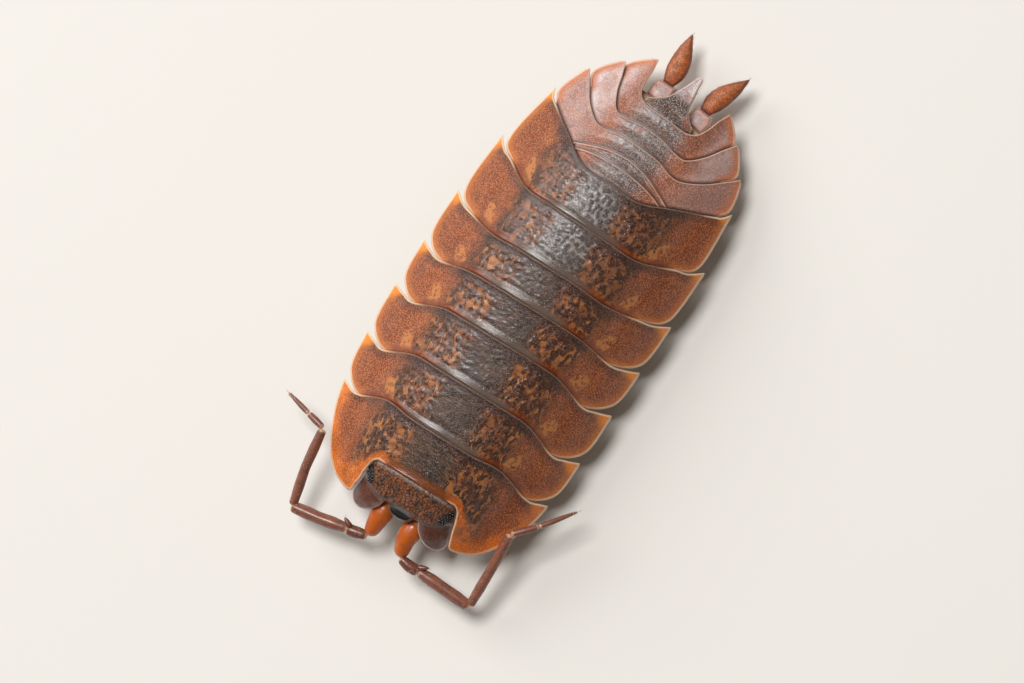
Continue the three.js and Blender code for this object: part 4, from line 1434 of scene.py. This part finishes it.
def antenna_whip(heap, joints, draw):
    """Adds the two articles of the whip, with a brush at its tip."""
    first, second, last = joints["flagellum"]
    for path, name, dusk in (([first, second], "whip_root", 0.5), ([second, last], "whip", 0.55)):
        points, faces, end = rod(path, ANTENNA_RADII[name], 16)
        heap.add(points, faces, False, end=end, dusk=dusk)
    bristles(heap, [first, last], 0.08, draw, 120, 0.06, ANTENNA_HAIR)
    direction = np.array(last) - np.array(second)
    direction /= np.linalg.norm(direction)
    for _ in range(5):
        tip = np.array(last) + direction * 0.14 + draw.normal(0, 0.015, 3)
        heap.add(*spike(last, tip, 0.012), False, hair=1.0)


class WOODLOUSE_OT_antennae(bpy.types.Operator):
    """Make both antennae, article by article"""

    bl_idname = "woodlouse.antennae"
    bl_label = "Antennae"

    def execute(self, context):
        limbs = settings_of(context)[2]
        brown = shared("antenna", limb_finish, limbs, "antenna")
        orange = shared("antenna_base", limb_finish, limbs, "antenna_base")
        draw = np.random.default_rng(7)
        for side, joints in ANTENNAE.items():
            heap = Heap()
            antenna_root(heap, joints, draw)
            heap.piece(f"antenna_{side}_root", orange, "antenna_base", f"antenna_{side}_base")
            for name, hairs in (("article_4", 70), ("article_5", 90)):
                heap = Heap()
                antenna_article(heap, joints[name], ANTENNA_RADII[name], draw, hairs)
                heap.piece(f"antenna_{side}_{name}_shell", brown, "antenna", f"antenna_{side}_{name}")
            heap = Heap()
            antenna_whip(heap, joints, draw)
            heap.piece(f"antenna_{side}_whip", brown, "antenna", f"antenna_{side}_flagellum")
        return {"FINISHED"}


def flap(heap, sign, name, level, thick, crown, **kind):
    """Adds a lens-shaped flap between an inner and an outer margin."""
    columns, rows = GRIDS["flap"]
    across = bunched(np.linspace(0, 1, columns), 0.6)
    along = bunched(np.linspace(0, 1, rows), 0.5)
    inner = plan_curve(UROPOD[name + "_inner"])(along)
    outer = plan_curve(UROPOD[name + "_outer"])(along)
    if sign < 0:
        inner, outer = outer * [-1, 1], inner * [-1, 1]
    plan = inner[:, None] + (outer - inner)[:, None] * across[None, :, None]
    x, y = plan[..., 0], plan[..., 1]
    edge = distance_to(np.concatenate([inner, outer[::-1], inner[:1]]), x, y)
    swell = thick / 2 * rounding(edge, 0.3 * thick)
    hump = crown * np.sin(np.pi * across)[None] * np.sin(np.pi * np.clip(along, 0.05, 0.95))[:, None]
    middle = level - 0.12 * along[:, None] - thick / 2
    values = {key: np.full(x.shape, value) for key, value in kind.items()}
    values.update(edge=edge, side=edge, across=np.abs(x), front=edge, rear=edge)
    values["dusk"] = 0.6 * (1 - step(edge, 0.02, 0.16))
    add_sheet(heap, x, y, middle + swell + hump, middle - swell, **values)


def prong_hairs(heap, sign, draw):
    """Sets short hairs along both edges of an outer prong and a brush at its tip."""
    inner, outer = plan_curve(UROPOD["exopod_inner"]), plan_curve(UROPOD["exopod_outer"])
    for _ in range(90):
        run = draw.uniform(0.1, 0.98)
        edge, away = (inner, -1) if draw.random() < 0.5 else (outer, 1)
        x, y = edge(np.array(run))
        root = [sign * x, y, 1.2 - 0.12 * run]
        tip = [root[0] + sign * away * 0.02, y + 0.07, root[2]]
        heap.add(*spike(root, tip, 0.006, 4), hair=0.6)
    x, y = (inner(np.array(1.0)) + outer(np.array(1.0))) / 2
    for _ in range(6):
        tip = [sign * (x + draw.normal(0, 0.015)), y + 0.1, 1.06 + draw.normal(0, 0.01)]
        heap.add(*spike([sign * x, y - 0.03, 1.08], tip, 0.01, 4), hair=0.8)


class WOODLOUSE_OT_tail_fork(bpy.types.Operator):
    """Make the forked appendages of the tail"""

    bl_idname = "woodlouse.tail_fork"
    bl_label = "Tail fork"

    def execute(self, context):
        shell, _, limbs, _ = settings_of(context)
        plate = shared("tail_shell", tail_finish, shell)
        rust = shared("exopod", limb_finish, limbs, "exopod")
        draw = np.random.default_rng(17)
        for side, sign in SIDES:
            heap = Heap()
            flap(heap, sign, "protopod", 1.33, 0.42, 0.1, bloom=0.7)
            heap.piece(f"tail_fork_{side}_base", plate, "tail_shell", f"uropod_{side}_protopod")
            heap = Heap()
            flap(heap, sign, "exopod", 1.3, 0.26, 0.12, end=1.0)
            prong_hairs(heap, sign, draw)
            heap.piece(f"tail_fork_{side}_prong", rust, "exopod", f"uropod_{side}_exopod")
            heap = Heap()
            path = [[sign * x, y, z] for x, y, z in UROPOD["endopod"]]
            points, faces, end = rod(path, [0.1, 0.09, 0.07, 0.05])
            heap.add(points, faces, end=end)
            bristles(heap, path, 0.07, draw, 30, 0.06, PRONG_HAIR)
            heap.piece(f"tail_fork_{side}_inner", rust, "exopod", f"uropod_{side}_endopod")
        return {"FINISHED"}


def walking_leg(heap, sign, place, draw):
    """Adds the six articles of one leg, from under the body out to the claw on the floor."""
    ceiling = float(belly_height(np.array(COXA_X), np.array(place["y"]))) + 0.02
    foot = place["foot"]
    bends = (
        (COXA_X, 0, ceiling), (KNEE_X - 0.12, 0.3, 1.0), ((KNEE_X + foot) / 2, 0.62, 0.92),
        (foot - 0.3, 0.88, 0.6), (foot - 0.03, 1, 0.14), (foot, 1, 0.005),
    )
    route = np.array([(sign * x, place["y"] + place["reach"] * share, z) for x, share, z in bends])
    lengths = path_lengths(route)
    knee, whole = lengths[1], lengths[-1]
    stops = [0, knee] + [knee + (whole - knee) * share for share in LEG_STOPS]
    for start, stop, (thick, thin) in zip(stops[:-1], stops[1:], LEG_RADII):
        path = along_path(route, lengths, np.linspace(start, stop - 0.01, 4))
        points, faces, end = rod(path, [0.8 * thick, thick, thin], flat=0.85)
        heap.add(points, faces, end=end)
        if thick > 0.1:
            bristles(heap, path, thin, draw, 12, 0.11, LEG_SPINES)


class WOODLOUSE_OT_legs(bpy.types.Operator):
    """Make the fourteen legs, folded under the body"""

    bl_idname = "woodlouse.legs"
    bl_label = "Legs"

    def execute(self, context):
        horn = shared("leg", limb_finish, settings_of(context)[2], "leg")
        draw = np.random.default_rng(29)
        for k, place in enumerate(LEGS):
            for side, sign in SIDES:
                heap = Heap()
                walking_leg(heap, sign, place, draw)
                heap.piece(f"walking_leg_{side}_{k + 1}", horn, "limb", f"leg_{side}_{k + 1}")
        return {"FINISHED"}


# Lights: where each stands, how far away in metres and how wide it is.
LIGHTS = {
    "main_light": {"aim": (-0.33, 0.12, 0.93), "away": 0.4, "size": 0.15},
    "side_light": {"aim": (-0.82, 0.12, 0.56), "away": 0.45, "size": 0.3},
}
FLOOR_HALF = 1.2
# Middle of the picture, in the straight frame.
TARGET = (0.09, -2.28, 1.2)


def add_floor(context, stage):
    """Adds the plain floor that the animal stands on."""
    corners = [(FLOOR_HALF * x, FLOOR_HALF * y, 0) for x, y in ((-1, -1), (1, -1), (1, 1), (-1, 1))]
    mesh = bpy.data.meshes.new("floor")
    mesh.from_pydata(corners, [], [(0, 1, 2, 3)])
    mesh.materials.append(floor_finish(stage))
    floor = bpy.data.objects.new("floor", mesh)
    context.scene.collection.objects.link(floor)


def add_lights(context, stage):
    """Adds the two soft lights and the glow all round."""
    for (name, light), power in zip(LIGHTS.items(), (stage.key, stage.side)):
        aim = Vector(light["aim"]).normalized()
        lamp = bpy.data.lights.new(name, "AREA")
        lamp.shape, lamp.size, lamp.energy = "DISK", light["size"], power
        made = bpy.data.objects.new(name, lamp)
        made.location = aim * light["away"]
        made.rotation_mode = "QUATERNION"
        made.rotation_quaternion = aim.to_track_quat("Z", "Y")
        made.visible_camera = False
        context.scene.collection.objects.link(made)
    world = bpy.data.worlds.new("studio")
    world.use_nodes = True
    glow = world.node_tree.nodes["Background"]
    glow.inputs["Color"].default_value = (1.0, 0.93, 0.82, 1.0)
    glow.inputs["Strength"].default_value = stage.fill
    context.scene.world = world
    context.scene.view_settings.view_transform = "Standard"


def add_camera(context, stage):
    """Adds the camera, nearly straight above the animal."""
    data = bpy.data.cameras.new("camera")
    data.sensor_width, data.lens = 36.0, 150.0
    data.clip_start, data.clip_end = 0.005, 5.0
    camera = bpy.data.objects.new("camera", data)
    back = Vector((math.sin(stage.tilt), 0, math.cos(stage.tilt)))
    up = Vector((-math.sin(stage.turn), math.cos(stage.turn), 0))
    up = (up - back * up.dot(back)).normalized()
    turn = Matrix((up.cross(back), up, back)).transposed().to_4x4()
    x, y, z = TARGET
    target = Vector(((x + SHIFT_X) * MM, (y + SHIFT_Y) * MM, z * MM))
    camera.matrix_world = Matrix.Translation(target + back * stage.distance) @ turn
    context.scene.collection.objects.link(camera)
    context.scene.camera = camera


class WOODLOUSE_OT_stage(bpy.types.Operator):
    """Make the floor, the soft lights and the camera"""

    bl_idname = "woodlouse.stage"
    bl_label = "Floor, lights and camera"

    def execute(self, context):
        stage = settings_of(context)[3]
        add_floor(context, stage)
        add_lights(context, stage)
        add_camera(context, stage)
        return {"FINISHED"}


STEPS = (
    WOODLOUSE_OT_back_plates,
    WOODLOUSE_OT_tail_plates,
    WOODLOUSE_OT_head,
    WOODLOUSE_OT_belly,
    WOODLOUSE_OT_antennae,
    WOODLOUSE_OT_tail_fork,
    WOODLOUSE_OT_legs,
    WOODLOUSE_OT_stage,
)
GROUPS = {
    "woodlouse_shell": WoodlouseShellSettings,
    "woodlouse_head": WoodlouseHeadSettings,
    "woodlouse_limbs": WoodlouseLimbSettings,
    "woodlouse_stage": WoodlouseStageSettings,
}


class VIEW3D_PT_woodlouse(bpy.types.Panel):
    """Lists the settings and the steps that make the woodlouse"""

    bl_label = "Woodlouse"
    bl_space_type = "VIEW_3D"
    bl_region_type = "UI"
    bl_category = "Woodlouse"

    def draw(self, context):
        layout = self.layout
        for name, group in GROUPS.items():
            box = layout.box()
            box.label(text=group.__doc__.rstrip("."))
            for key in group.__annotations__:
                box.prop(getattr(context.scene, name), key)
        for maker in STEPS:
            layout.operator(maker.bl_idname)


def register():
    for made in (*GROUPS.values(), *STEPS, VIEW3D_PT_woodlouse):
        bpy.utils.register_class(made)
    for name, group in GROUPS.items():
        setattr(bpy.types.Scene, name, bpy.props.PointerProperty(type=group))


def unregister():
    for name in GROUPS:
        delattr(bpy.types.Scene, name)
    for made in (VIEW3D_PT_woodlouse, *reversed(STEPS), *GROUPS.values()):
        bpy.utils.unregister_class(made)


def main():
    register()
    for maker in STEPS:
        family, name = maker.bl_idname.split(".")
        getattr(getattr(bpy.ops, family), name)()


if __name__ == "__main__":
    main()
